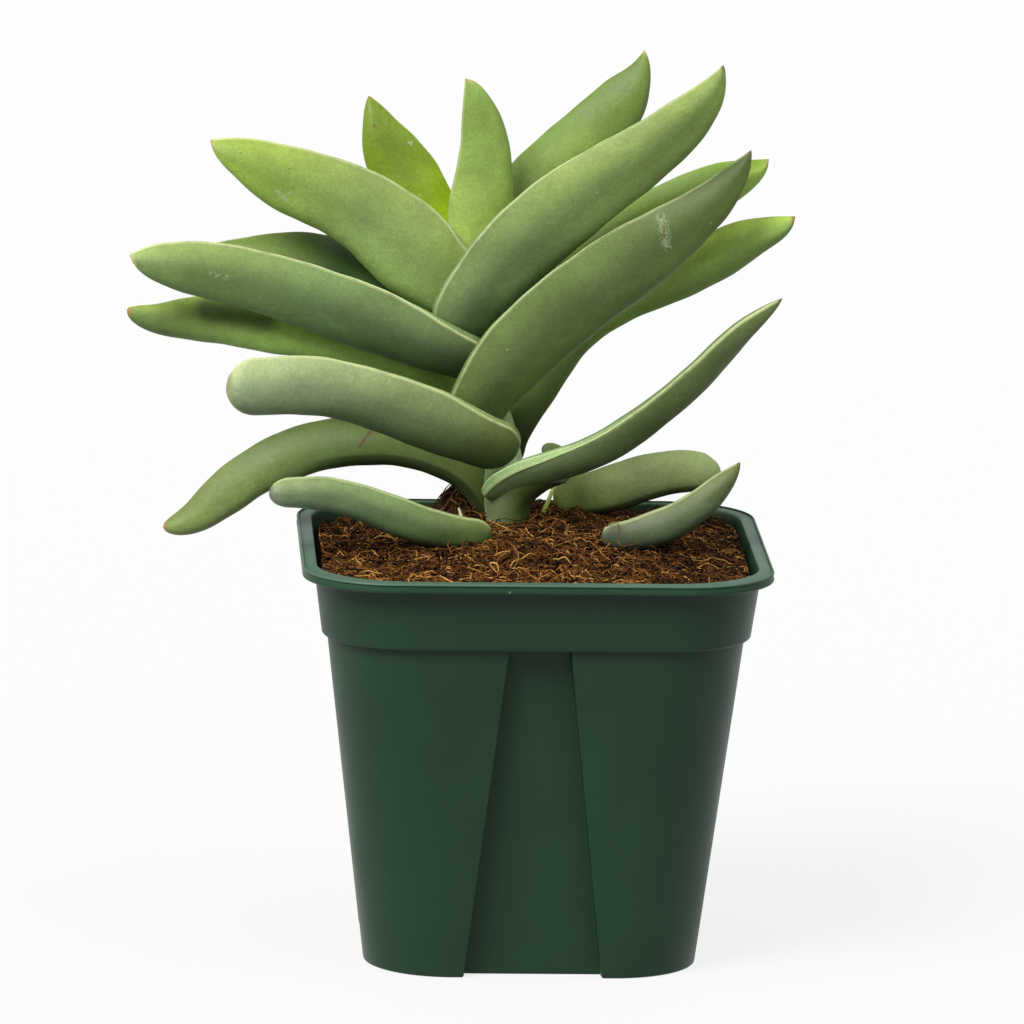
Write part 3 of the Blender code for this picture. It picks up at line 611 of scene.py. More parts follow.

# Each blade's green and brightness near its base, at its middle and near its tip, then the cast and strength
# of its upper and of its lower side, and last its tip. These brightnesses and strengths hold painted light
# and painted shade: stretches that lie in shade are painted darker, and stretches that these lamps leave in
# shadow are painted lighter.
SKINS = {
    "leaf_1_right": (("sage", 0.165), ("leaf", 0.095), ("leaf", 0.115),
        ("plain", 1), ("plain", 1), "brown"),
    "leaf_1_left": (("olive", 0.125), ("grass", 0.105), ("olive", 0.135),
        ("yellow", 0.88), ("cool", 1.2), "tan"),
    "leaf_2_left": (("leaf", 0.075), ("sage", 0.13), ("silver", 0.18),
        ("warm", 1.45), ("fresh", 0.88), "pale"),
    "leaf_2_right": (("grass", 0.045), ("grass", 0.38), ("grass", 0.25),
        ("warm", 1.55), ("fresh", 0.63), "tan"),
    "leaf_3_right": (("leaf", 0.09), ("leaf", 0.085), ("apple", 0.055),
        ("yellow", 1.3), ("yellow", 1.6), "brown"),
    "leaf_3_left": (("grass", 0.44), ("grass", 0.42), ("grass", 0.11),
        ("warm", 1.7), ("cool", 1.15), "tan"),
    "leaf_4_left": (("moss", 0.07), ("moss", 0.11), ("leaf", 0.12),
        ("warm", 1.6), ("fresh", 1.3), "cream"),
    "leaf_4_right": (("olive", 0.165), ("apple", 0.22), ("apple", 0.3),
        ("green", 0.8), ("fresh", 1), "straw"),
    "leaf_5_right": (("moss", 0.095), ("leaf", 0.125), ("grass", 0.105),
        ("warm", 1.6), ("plain", 1.75), "brown"),
    "leaf_5_left": (("moss", 0.115), ("fern", 0.07), ("olive", 0.2),
        ("green", 0.72), ("plain", 1), "tan"),
    "leaf_6_left": (("leaf", 0.24), ("leaf", 0.165), ("apple", 0.215),
        ("warm", 1.15), ("plain", 1.5), "straw"),
    "leaf_6_right": (("grass", 0.16), ("apple", 0.15), ("apple", 0.125),
        ("green", 0.85), ("cool", 1.05), "straw"),
    "leaf_7_right": (("olive", 0.41), ("grass", 0.22), ("grass", 0.19),
        ("plain", 1), ("plain", 1.1), "straw"),
    "leaf_7_left": (("spring", 0.35), ("spring", 0.135), ("spring", 0.145),
        ("yellow", 1.2), ("plain", 1.1), "mustard"),
    "leaf_low_left": (("grass", 0.055), ("moss", 0.08), ("sage", 0.1),
        ("warm", 1.65), ("cool", 1.65), "grey"),
    "leaf_low_back": (("olive", 0.12), ("straw", 0.115), ("straw", 0.18),
        ("plain", 1.3), ("fresh", 1), "pale"),
    "leaf_low_front": (("silver", 0.055), ("sage", 0.065), ("olive", 0.065),
        ("warm", 1.4), ("plain", 1.15), "brown"),
    "seedling_leaf_1": (("leaf", 0.12), ("leaf", 0.12), ("leaf", 0.12),
        ("plain", 1), ("plain", 1), "green"),
    "seedling_leaf_2": (("leaf", 0.12), ("leaf", 0.12), ("leaf", 0.12),
        ("plain", 1), ("plain", 1), "green"),
}


def blade_closing(place, length, ends):
    """Closing of a blade's width: an ellipse at the base, and 1 minus a square to a power at the tip."""
    base, tip, power = ends
    from_base = np.clip(1 - place / base, 0, 1)
    from_tip = np.clip(1 - (length - place) / tip, 0, 1)
    return np.sqrt(1 - from_base**2) * (1 - from_tip**2) ** power


def blade_directions(line, lean, front, points_right):
    """Width direction and outward normal of each section, leaned about the middle line."""
    along = np.gradient(line, axis=0)
    along /= np.linalg.norm(along, axis=1, keepdims=True)
    outward = np.array((0.0, -1.0 if front else 1.0, 0.0))
    upper = np.cross((0.0, -1.0 if points_right else 1.0, 0.0), along)
    upper /= np.linalg.norm(upper, axis=1, keepdims=True)
    normal = np.cross(along, upper)
    normal *= np.sign(normal @ outward)[:, None]
    angle = np.radians(lean)[:, None]
    leaned = upper * np.cos(angle) + normal * np.sin(angle)
    return leaned, normal * np.cos(angle) - upper * np.sin(angle)


def blade_sections(leaf, rings):
    """A blade's sections: place along it, middle point, width, depth, width direction and outward normal.

    Sections crowd towards both ends. The width is a smooth line through the given widths, each
    divided by the closing at its place, times the closing. The depth swells from the base by a
    squared sine and follows the width by a tanh. At the tip the middle shifts by the skew.
    """
    path = np.asarray(leaf["path"], float)
    knots = chord_knots(path)
    length = knots[-1]
    even = np.linspace(0, 1, rings + 2)
    place = length * (0.35 * even + 0.325 * (1 - np.cos(math.pi * even)))
    line = smooth_line(knots, path, place)
    full = np.asarray(leaf["widths"]) / blade_closing(knots[1:-1], length, leaf["ends"])
    full = smooth_line(knots, np.concatenate((full[:1], full, full[-1:])), place)
    width = full * blade_closing(place, length, leaf["ends"])
    swell = BASE_THIN + (1 - BASE_THIN) * np.sin(math.pi / 2 * np.clip(place / BASE_LENGTH, 0, 1)) ** 2
    depth = swell * leaf["thick"] * np.tanh(0.9 * width / leaf["thick"])
    lean = np.interp(place, (0, length), leaf["lean"])
    upper, normal = blade_directions(line, lean, leaf["front"], path[-1, 0] > path[0, 0])
    at_tip = place > length - leaf["ends"][1]
    line = line + (leaf["skew"] / 2 * np.where(at_tip, full - width, 0))[:, None] * upper
    return place, line, width, depth, upper, normal


def blade_relief(turn, fold, keel, share, fold_height, fade, depth):
    """Creases of a blade: a Gaussian ridge on each, and a half-sine hollow in the strip beside it."""
    ridge = np.exp(-((turn - fold) / RIDGE_TURN) ** 2) * (1 - 0.6 * share)
    lower_ridge = np.exp(-((turn - math.pi + keel) / RIDGE_TURN) ** 2) * (1 - share)
    sag = np.where(turn < fold, np.sin(math.pi * turn / fold), 0) * (1 - np.cos(fold / 2))
    below = (turn > math.pi - keel) & (turn < math.pi)
    lower_sag = np.where(below, np.sin(math.pi * (math.pi - turn) / keel), 0) * (1 - np.cos(keel / 2))
    return (ridge + lower_ridge) * fold_height * fade - FACET_HOLLOW * depth * (sag + lower_sag)


def girth_distance(rows, column):
    """Distance round each section from its point in one column, the shorter way."""
    steps = np.linalg.norm(np.roll(rows, -1, axis=1) - rows, axis=2)
    reach = np.cumsum(steps, axis=1) - steps
    away = np.abs(reach - reach[:, column, None])
    return np.minimum(away, steps.sum(axis=1, keepdims=True) - away)


def blade_surface(leaf, rings, fold_height, wave, seed):
    """A blade as a surface of two parameters, place along it and turn t round its section.

    Across the blade a point lies at w/2 cos(t), and outwards at d/2 sin(t)^e (1 - thin cos(t))
    + cup w sin(t)^2, where w and d are the width and depth at that place and e is the sharpness
    of the nearer edge. The creases' relief is added, and slow sines along the blade make its
    faces and edges uneven. Returns the points and their attributes: the share of the length, cos(t),
    1 on the strip between the upper edge and its crease, and the distances from crease and tip.
    """
    place, line, width, depth, upper, normal = blade_sections(leaf, rings)
    length = place[-1]
    inner = slice(1, -1)
    share = (place / length)[inner, None]
    fold = np.radians(np.interp(share, CREASE_PLACES, leaf["fold"]))
    keel = np.radians(np.interp(share, CREASE_PLACES, leaf["keel"]))
    strip = np.arange(STRIP_COLUMNS) / STRIP_COLUMNS
    across_face = ease(FACE_COLUMNS)
    turn = np.concatenate((fold * strip, fold + (math.pi - keel - fold) * across_face,
                           math.pi - keel + keel * strip, math.pi + math.pi * across_face
                           + 0 * fold), axis=1)
    w, d = width[inner, None], depth[inner, None]
    fade = np.clip(d / leaf["thick"], 0, 1)
    first, second, _, third, fourth = np.random.default_rng(seed).uniform(0, 2 * math.pi, 5)
    slow = (np.sin(2 * math.pi * share * 1.7 + first)
            + 0.6 * np.sin(2 * math.pi * share * 3.4 + second + 2.5 * np.cos(turn)))
    uneven = (np.sin(2 * math.pi * share * length / 17 + third)
              + 0.7 * np.sin(2 * math.pi * share * length / 9 + fourth + np.sign(np.cos(turn))))
    sideways = (w / 2 + 0.5 * wave * uneven * fade) * np.cos(turn)
    sharp = np.where(np.cos(turn) > 0, *leaf["edges"])
    profile = np.sign(np.sin(turn)) * np.abs(np.sin(turn)) ** sharp
    relief = blade_relief(turn, fold, keel, share, fold_height, fade, d)
    outwards = (d / 2 * profile * (1 - EDGE_THIN * np.cos(turn)) + CUP * w * np.sin(turn) ** 2
                + relief + wave * slow * np.sin(turn) * fade)
    rows = (line[inner, None] + sideways[..., None] * upper[inner, None]
            + outwards[..., None] * normal[inner, None])
    points = np.concatenate((rows.reshape(-1, 3), line[:1], line[-1:]))
    fields = {                 # values on the rings, at the base's pole and at the tip's pole
        "along": (share, 0, 1), "across": (np.cos(turn), 0, 0), "strip": (turn < fold, 0, 0),
        "from_crease": (girth_distance(rows, STRIP_COLUMNS), FAR, 0),
        "from_tip": ((length - place)[inner, None], length, 0),
    }
    return points, {key: np.append(np.broadcast_to(on_rings, turn.shape), at_poles).astype(float)
                    for key, (on_rings, *at_poles) in fields.items()}


def blade_piece(name, leaf, settings, seed):
    """Make one leaf's closed surface."""
    points, attributes = blade_surface(leaf, settings.rings, settings.fold_height / MM,
                                       settings.wave / MM * min(1.0, leaf["thick"] / 5), seed)
    faces = tube_faces(settings.rings, 2 * (STRIP_COLUMNS + FACE_COLUMNS))
    return add_piece(name + "_blade", points, faces, attributes, sharp=0)


def stroke(tree, start, end, width, blur):
    """1 along the straight line from start to end (millimetres), fading out past half its width."""
    a, b = np.asarray(start, float) * MM, np.asarray(end, float) * MM
    run = b - a
    from_a = tree.add("ShaderNodeVectorMath", {0: tree.place, 1: tuple(a)}, operation="SUBTRACT").outputs[0]
    along = tree.add("ShaderNodeVectorMath", {0: from_a, 1: tuple(run / (run @ run))},
                     operation="DOT_PRODUCT").outputs["Value"]
    along = tree.math("MULTIPLY", along, 1.0, clamp=True)
    foot = tree.add("ShaderNodeVectorMath", {0: tuple(run), "Scale": along}, operation="SCALE").outputs[0]
    away = tree.add("ShaderNodeVectorMath", {0: from_a, 1: foot}, operation="DISTANCE").outputs["Value"]
    return tree.between(away, (width / 2 + blur) * MM, width / 2 * MM)


# Marks on single leaves: kind, ends of the stroke, width, blur and strength. The dark green mark on
# leaf_3_left is a painted shadow, cast there by leaf_4_left above it.
MARKS = {
    "leaf_1_left": (("scar", (-37.3, 12.4, 118.5), (-39.0, 11.3, 116.5), 0.3, 0.35, 0.9),
                    ("scar", (-39.0, 11.3, 116.5), (-40.0, 10.8, 115.1), 0.4, 0.35, 0.9)),
    "leaf_3_right": (("rub", (28.4, -1.4, 171.3), (29.8, -2.5, 165.0), 0.2, 2.0, 0.38),
                     ("scar", (29.0, -2.1, 169.6), (29.0, -2.6, 166.9), 0.2, 0.35, 0.6)),
    # Painted shadow of leaf_4_left on leaf_3_left.
    "leaf_3_left": (("painted_shadow", (-75.0, 2.5, 148.5), (-63.0, 4.2, 147.0), 3.0, 4.0, 0.75),),
    "leaf_6_left": (("rub", (-60.5, -0.8, 176.8), (-57.9, -0.3, 174.2), 0.2, 0.5, 0.6),
                    ("rub", (-59.8, -0.3, 174.4), (-57.3, -0.6, 176.4), 0.2, 0.4, 0.5)),
    "leaf_7_left": (("rub", (-29.6, 16.8, 185.0), (-28.8, 16.8, 185.6), 0.7, 0.5, 0.7),
                    ("scar", (-37.6, 16.3, 189.6), (-37.6, 16.3, 189.4), 0.4, 0.3, 0.8)),
    "leaf_4_left": (("rub", (-75.5, -7.6, 158.2), (-71.8, -7.1, 157.4), 0.2, 0.8, 0.45),),
}
MARK_COLOURS = {"scar": (0.062, 0.036, 0.012), "painted_shadow": (0.024, 0.046, 0.008), "rub": (0.26, 0.31, 0.19)}

# Blades whose strip between upper edge and crease, which faces up to the light, is painted paler near the
# base as a painted highlight: how many times.
STRIP_HIGHLIGHTS = {"leaf_1_right": 2.0, "leaf_4_left": 1.3, "leaf_2_left": 1.25}

# Blades with a dark band of painted shade on their underside: the share of brightness that it keeps, and how
# far along the blade it goes.
KEEL_SHADES = {"leaf_1_left": (0.42, 0.55), "leaf_low_back": (0.5, 1.2)}

# Strength of the pale line along a blade's crease, where it differs from the usual one. The line is partly a
# pale margin and partly a painted highlight on the crease's ridge.
MARGIN_HIGHLIGHTS = {"leaf_4_left": 1.0, "leaf_6_left": 1.0, "leaf_2_left": 0.75, "leaf_1_right": 0.7}
USUAL_MARGIN_HIGHLIGHT = 0.55


def dots(tree, scale, channel, share, size):
    """Small round dots in a random share of the cells of a lattice."""
    cells = tree.add("ShaderNodeTexVoronoi", {"Vector": tree.place, "Scale": scale})
    draw = tree.add("ShaderNodeSeparateColor", {0: cells.outputs["Color"]}).outputs[channel]
    chosen = tree.between(draw, 1 - share, 1 - share + 0.01)
    return tree.times(tree.between(cells.outputs["Distance"], size, size / 2), chosen)


def toned(table, choice):
    """A named colour of a table times the brightness chosen for it."""
    name, brightness = choice
    return tuple(brightness * part for part in table[name])


def skin_greens(tree, name, along, across):
    """A blade's greens along it, whose brightness holds painted light and shade, times the painted light and
    shade of its upper and its lower side.
    """
    near_base, middle, near_tip = (toned(GREENS, choice) for choice in SKINS[name][:3])
    above, below = (toned(SIDE_LIGHT_CASTS, choice) for choice in SKINS[name][3:5])
    colour = tree.ramp(along, ((0.1, near_base), (0.5, middle), (0.9, near_tip)))
    # Painted light and shade: the upper and the lower side are painted paler or darker.
    colour = tree.mix(tree.between(across, 0.0, 0.8), colour, above, "MULTIPLY")
    return tree.mix(tree.between(across, 0.0, -0.8), colour, below, "MULTIPLY")


def skin_marks(tree, name, colour, worms):
    """The strokes of MARKS; a rub shows only between the skin's worm tracks."""
    for kind, start, end, width, blur, strength in MARKS.get(name, ()):
        mask = tree.times(stroke(tree, start, end, width, blur), strength)
        if kind == "rub":
            mask = tree.times(mask, tree.between(worms, 0.03, 0.12))
        colour = tree.mix(mask, colour, MARK_COLOURS[kind])
    return colour


def skin_shading(tree, name, colour, along, across):
    """The painted highlight on the strip beside an upper edge and the painted shade on the underside of the
    blades that have them.
    """
    if name in STRIP_HIGHLIGHTS:
        # Painted highlight on the upward strip beside the upper edge.
        strip_highlight = tree.times(tree.attribute("strip"), tree.between(along, 0.2, 0.6, 1.0, 0.1))
        colour = tree.mix(strip_highlight, colour, (STRIP_HIGHLIGHTS[name],) * 3, "MULTIPLY")
    if name in KEEL_SHADES:
        kept, reach = KEEL_SHADES[name]
        # Painted shade: a dark band on the underside near the lower edge.
        keel_shade = tree.times(tree.between(across, -0.58, -0.70), tree.between(along, reach + 0.1, reach - 0.1))
        colour = tree.mix(keel_shade, colour, (kept,) * 3, "MULTIPLY")
    return colour


def leaf_material(name, settings):
    """Waxy succulent skin: greens with painted light and shade, bloom, worm tracks, dots, marks with a
    painted shadow, a painted highlight on the upper strip, painted shade on the underside, a pale margin line
    that is partly a painted highlight, and a tip.
    """
    tree = Tree(name + "_skin")
    along, across = tree.attribute("along"), tree.attribute("across")
    clouds = tree.noise(0.020, detail=2, warp=0.3)
    worms = tree.math("ABSOLUTE", tree.math("SUBTRACT", tree.noise(0.0014, detail=1, warp=1.2), 0.5))
    drift = tree.noise(0.0035, detail=3, warp=0.8, rough=0.55)
    colour = skin_greens(tree, name, along, across)
    colour = tree.shade(colour, tree.between(clouds, 0.36, 0.66, 0.92, 1.08))
    grain = tree.between(worms, 0.0, 0.13, 0.90, 1.05)
    colour = tree.shade(colour, tree.times(grain, tree.between(drift, 0.34, 0.66, 0.95, 1.05)))
    pale = tree.times(dots(tree, scale=300.0, channel=0, share=0.08, size=0.11), 0.45)
    colour = tree.mix(pale, colour, tuple(settings.scratch_colour))
    dark = tree.times(dots(tree, scale=420.0, channel=1, share=0.10, size=0.13), 0.55)
    green, brightness = SKINS[name][1]
    colour = tree.mix(dark, colour, toned(GREENS, (green, 0.2 * brightness)))
    colour = skin_marks(tree, name, colour, worms)
    colour = skin_shading(tree, name, colour, along, across)
    # Pale line along the crease: partly a margin, partly a painted highlight.
    strength = MARGIN_HIGHLIGHTS.get(name, USUAL_MARGIN_HIGHLIGHT)
    line = tree.times(tree.between(tree.attribute("from_crease"), 0.60, 0.15),
                      tree.between(tree.noise(0.004, detail=2), 0.3, 0.5, 0.5 * strength, strength))
    colour = tree.mix(line, colour, tuple(settings.margin_highlight_colour))
    colour = tree.mix(tree.between(tree.attribute("from_tip"), 1.3, 0.4), colour, TIPS[SKINS[name][5]])
    height = tree.math("ADD", worms, tree.times(drift, 0.8))
    rough = tree.between(clouds, 0.3, 0.7, 0.50, 0.60)
    return tree.finish(colour, rough, height, 0.00010, Specular_IOR_Level=0.28, Subsurface_Weight=0.10,
                       Subsurface_Radius=(1.0, 1.0, 0.3), Subsurface_Scale=0.0012)


class CRASSULA_OT_leaves(Operator):
    """Make the paired leaves, the low leaves and the seedling's leaves."""

    bl_idname = "crassula.leaves"
    bl_label = "Leaves"

    def execute(self, context):
        settings = context.scene.crassula_leaves
        for seed, (name, leaf) in enumerate({**LEAVES, **SEEDLING_LEAVES}.items()):
            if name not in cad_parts:
                raise RuntimeError(f"the frame has no solid named {name}")
            piece = blade_piece(name, leaf, settings, seed)
            skin = leaf_material(name, settings)
            dress(piece, skin, "seedling" if name in SEEDLING_LEAVES else "leaf", name)
        return {"FINISHED"}


# ---------------------------------------------------------------------------------------------
# Stem and small pieces
# ---------------------------------------------------------------------------------------------

def stalk_surface(path, radii, rough, rings, columns, seed):
    """A round section carried along a smooth line, its radius roughened by lattice noise."""
    path = np.asarray(path, float)
    knots = chord_knots(path)
    place = np.linspace(0, knots[-1], rings)
    line = smooth_line(knots, path, place)
    radius = smooth_line(knots, radii, place)
    along = np.gradient(line, axis=0)
    along /= np.linalg.norm(along, axis=1, keepdims=True)
    side = np.cross(along, (0.0, 1.0, 0.0))
    side /= np.linalg.norm(side, axis=1, keepdims=True)
    other = np.cross(along, side)
    turn = 2 * math.pi * np.arange(columns) / columns
    ring = (np.cos(turn)[None, :, None] * side[:, None] + np.sin(turn)[None, :, None] * other[:, None])
    rows = line[:, None] + radius[:, None, None] * ring
    flat = rows.reshape(-1, 3)
    bumps = sum(lattice_noise(flat, cell, seed + k) * share
                for k, (cell, share) in enumerate(((2.6, 0.6), (1.1, 0.3), (0.5, 0.15))))
    rows = rows + (rough * bumps).reshape(rings, columns, 1) * ring
    return np.concatenate((rows.reshape(-1, 3), line[:1], line[-1:]))


def foot_surface(sections, rings, columns):
    """Ellipses in level planes whose centres and half sizes run along smooth lines of the height."""
    sections = np.asarray(sections, float)
    height = np.linspace(sections[0, 0], sections[-1, 0], rings)
    x, y, half_x, half_y = smooth_line(sections[:, 0], sections[:, 1:], height).T
    turn = 2 * math.pi * np.arange(columns) / columns
    rows = np.stack((x[:, None] + half_x[:, None] * np.cos(turn), y[:, None] + half_y[:, None]
                     * np.sin(turn), height[:, None] + 0 * turn), -1)
    poles = np.column_stack((x, y, height))[[0, -1]]
    return np.concatenate((rows.reshape(-1, 3), poles))


def stem_materials():
    """Green skin, knobbly bark, dry straw, the seedling's stalk, and the foot's green, painted dark as shade.
    """
    made = {}
    tree = Tree("stem_green")
    mottle = tree.noise(0.003, detail=4, warp=1.0)
    colour = tree.ramp(mottle, ((0.3, (0.17, 0.25, 0.09)), (0.7, (0.26, 0.36, 0.15))))
    made["stem_green"] = tree.finish(colour, 0.55, mottle, 0.0001, Specular_IOR_Level=0.3)
    tree = Tree("foot_green")
    grain = tree.noise(0.0014, detail=2, warp=1.0)
    # Painted shade: the foot is painted dark as the shade under leaf_1_right, and darker towards its right
    # side.
    across = tree.between(tree.place_parts()[0], -0.011, 0.001)
    colour = tree.ramp(across, ((0.0, (0.105, 0.135, 0.062)), (0.35, (0.070, 0.095, 0.036)),
                                (0.75, (0.040, 0.056, 0.010)), (1.0, (0.030, 0.042, 0.006))))
    made["foot_green"] = tree.finish(colour, 0.6, grain, 0.0001, Specular_IOR_Level=0.2)
    tree = Tree("stub_bark")
    grain = tree.noise(0.0012, detail=5, warp=0.8, rough=0.7)
    colour = tree.ramp(grain, ((0.3, (0.016, 0.010, 0.005)), (0.5, (0.060, 0.040, 0.018)),
                               (0.7, (0.150, 0.110, 0.055))))
    made["stub_bark"] = tree.finish(colour, 0.9, grain, 0.0008)
    tree = Tree("dry_straw")
    grain = tree.noise(0.001, detail=3)
    colour = tree.ramp(grain, ((0.3, (0.30, 0.25, 0.15)), (0.7, (0.60, 0.55, 0.42))))
    made["dry_straw"] = tree.finish(colour, 0.7, grain, 0.0001)
    tree = Tree("seedling_green")
    grain = tree.noise(0.002, detail=3)
    colour = tree.ramp(grain, ((0.3, (0.20, 0.27, 0.035)), (0.7, (0.34, 0.42, 0.08))))
    made["seedling_green"] = tree.finish(colour, 0.5, grain, 0.00005)
    return made


class CRASSULA_OT_stems(Operator):
    """Make the stem, the old stub, the dry twig and the seedling's stalk."""

    bl_idname = "crassula.stems"
    bl_label = "Stems"

    def execute(self, context):
        materials = stem_materials()
        for seed, (name, stem) in enumerate(STEMS.items()):
            grid = STEM_GRID if stem["radii"][0] > THIN_STALK else THIN_STALK_GRID
            points = stalk_surface(stem["path"], stem["radii"], stem["rough"], *grid, STEM_SEED + seed)
            piece = add_piece(name + "_skin", points, tube_faces(*grid), sharp=STEM_SHARP)
            dress(piece, materials[stem["finish"]], stem["slot"], name)
        foot = add_piece("stem_foot", foot_surface(FOOT, *FOOT_GRID), tube_faces(*FOOT_GRID),
                         sharp=STEM_SHARP)
        dress(foot, materials["foot_green"], "green_stem")
        return {"FINISHED"}


# ---------------------------------------------------------------------------------------------
# Pot
# ---------------------------------------------------------------------------------------------

def square_ring(half, corner, recess_half, recess_depth):
    """One closed outline: four straight sides with a sunk middle, joined by quarter circles.

    On a side the outline sinks by recess_depth times a smoothstep that rises over the recess's
    slope just inside recess_half. Columns crowd round both slopes, and their number is fixed.
    """
    reach = half - corner
    slope = np.linspace(-0.35, 1.35, SLOPE_COLUMNS) * RECESS_SLOPE
    left = np.linspace(-reach, -recess_half + slope[0], SIDE_COLUMNS, endpoint=False)
    middle = np.linspace(-recess_half + slope[-1], recess_half - slope[-1], SIDE_COLUMNS)[1:-1]
    s = np.concatenate((left, -recess_half + slope, middle, recess_half - slope[::-1], -left[::-1]))
    rise = np.clip((recess_half - np.abs(s)) / RECESS_SLOPE, 0, 1)
    sunk = recess_depth * rise * rise * (3 - 2 * rise)
    turn = np.linspace(-math.pi / 2, 0, CORNER_COLUMNS)[1:-1]
    side = np.concatenate((np.column_stack((s, -half + sunk)),
                           np.column_stack((reach + corner * np.cos(turn), -reach + corner * np.sin(turn)))))
    turns = [np.array(((math.cos(a), math.sin(a)), (-math.sin(a), math.cos(a))))
             for a in math.pi / 2 * np.arange(4)]
    return np.concatenate([side @ turn_matrix for turn_matrix in turns])


def body_ring(z, inset, depth=RECESS_DEPTH):
    """The tapering body's outline at a height, moved inwards by inset."""
    share = z / COLLAR_Z
    half = BODY_HALF_BOTTOM + (BODY_HALF_TOP - BODY_HALF_BOTTOM) * share
    corner = BODY_CORNER_BOTTOM + (BODY_CORNER_TOP - BODY_CORNER_BOTTOM) * share
    recess = RECESS_HALF_BOTTOM + (RECESS_HALF_TOP - RECESS_HALF_BOTTOM) * share
    ring = square_ring(half - inset, corner - inset, recess + inset, depth)
    return np.column_stack((ring, np.full(len(ring), z)))


def collar_ring(z, inset):
    """The collar's outline at a height, moved inwards by inset."""
    share = (z - COLLAR_Z) / (POT_HEIGHT - LIP_HEIGHT - COLLAR_Z)
    half = COLLAR_HALF_BOTTOM + (COLLAR_HALF_TOP - COLLAR_HALF_BOTTOM) * share
    ring = square_ring(half - inset, COLLAR_CORNER - inset, RECESS_HALF_TOP, 0.0)
    return np.column_stack((ring, np.full(len(ring), z)))


def lip_ring(z, inset):
    """The lip's outline at a height, moved inwards by inset."""
    ring = square_ring(LIP_HALF - inset, LIP_CORNER - inset, RECESS_HALF_TOP, 0.0)
    return np.column_stack((ring, np.full(len(ring), z)))


def pot_rings(fillet):
    """The moulding's rings from the middle of its underside, up the outside, over the lip and down.

    Each edge is a quarter circle of the fillet's radius: inset f (1 - sin a), height f (1 - cos a).
    """
    f = fillet
    quarter = np.linspace(0, math.pi / 2, FILLET_RINGS)
    lip_z = POT_HEIGHT - LIP_HEIGHT
    ledge_z = COLLAR_Z + WALL
    rings = [body_ring(0.0, f + FLAT_MARGIN)]
    rings += [body_ring(f * (1 - math.cos(a)), f * (1 - math.sin(a))) for a in quarter]
    rings += [body_ring(z, 0) for z in np.linspace(1.2, COLLAR_Z - 0.6, BODY_RINGS)]
    rings += [body_ring(COLLAR_Z, 0)]
    rings += [collar_ring(COLLAR_Z + f * (1 - math.cos(a)), f * (1 - math.sin(a))) for a in quarter]
    rings += [collar_ring(z, 0) for z in np.linspace(COLLAR_Z + 1, lip_z - 0.4, COLLAR_RINGS)]
    rings += [collar_ring(lip_z, -LIP_ROOT_FLARE)]
    rings += [lip_ring(lip_z + f * (1 - math.cos(a)), f * (1 - math.sin(a))) for a in quarter]
    rings += [lip_ring(POT_HEIGHT - f * (1 - math.sin(a)), f * (1 - math.cos(a))) for a in quarter[::-1]]
    rings += [collar_ring(POT_HEIGHT - f * (1 - math.cos(a)), WALL - f * (1 - math.sin(a)))
              for a in quarter]
    rings += [collar_ring(z, WALL) for z in (POT_HEIGHT - 1.5, POT_HEIGHT - 5, ledge_z)]
    rings += [body_ring(z, WALL) for z in (ledge_z, ledge_z / 2, FLOOR)]
    return rings


def pot_material(settings):
    """Moulded plastic: faint clouding, fine grain, a little dust, dull scuffs, a painted reflection on the
    lip and a painted highlight along its top edge.
    """
    tree = Tree("moulded_plastic")
    cloud = tree.noise(0.03, detail=3, warp=0.4)
    grain = tree.noise(0.0006, detail=2)
    scuffs = tree.between(tree.noise(0.0045, detail=5, warp=1.6, rough=0.65), 0.66, 0.76)
    base = tuple(settings.colour)
    pale = tuple(1.2 * c for c in base)
    colour = tree.mix(tree.between(cloud, 0.3, 0.7), base, pale)
    colour = tree.mix(tree.times(scuffs, 0.05), colour, (0.10, 0.13, 0.10))
    height = tree.place_parts()[2]
    # Painted reflection: the lip's outer face is painted paler, as the white surround seen in it.
    lip_reflection = tree.between(height, (POT_HEIGHT - LIP_HEIGHT - 0.1) * MM, (POT_HEIGHT - 1.0) * MM, 1.0, 1.5)
    colour = tree.shade(colour, lip_reflection)
    # Painted highlight: a lighter green along the lip's top edge.
    rim_highlight = tree.between(height, (POT_HEIGHT - 0.7) * MM, (POT_HEIGHT - 0.1) * MM, 0.0, 0.8)
    colour = tree.mix(rim_highlight, colour, (0.045, 0.082, 0.056))
    dust = tree.times(dots(tree, scale=140.0, channel=0, share=0.06, size=0.06), 0.5)
    colour = tree.mix(dust, colour, (0.16, 0.16, 0.11))
    rough = tree.between(cloud, 0.3, 0.7, settings.roughness - 0.04, settings.roughness + 0.06)
    rough = tree.math("ADD", rough, tree.times(scuffs, 0.15))
    return tree.finish(colour, rough, grain, 0.00002, Specular_IOR_Level=0.20)


def drill(piece, centres, radius, depth):
    """Cut round holes through a piece with a Boolean of closed meshes, and apply it."""
    for x, y in centres:
        bpy.ops.mesh.primitive_cylinder_add(vertices=DRAIN_VERTICES, radius=radius * MM, depth=depth * MM,
                                            location=(x * MM, y * MM, 0))
        tool = bpy.context.object
        cut = piece.modifiers.new("drain", "BOOLEAN")
        cut.operation = "DIFFERENCE"
        cut.solver = "MANIFOLD"
        cut.object = tool
        graph = bpy.context.evaluated_depsgraph_get()
        holed = bpy.data.meshes.new_from_object(piece.evaluated_get(graph))
        piece.modifiers.clear()
        piece.data = holed
        bpy.data.objects.remove(tool)
    piece.data.set_sharp_from_angle(angle=math.radians(USUAL_SHARP))


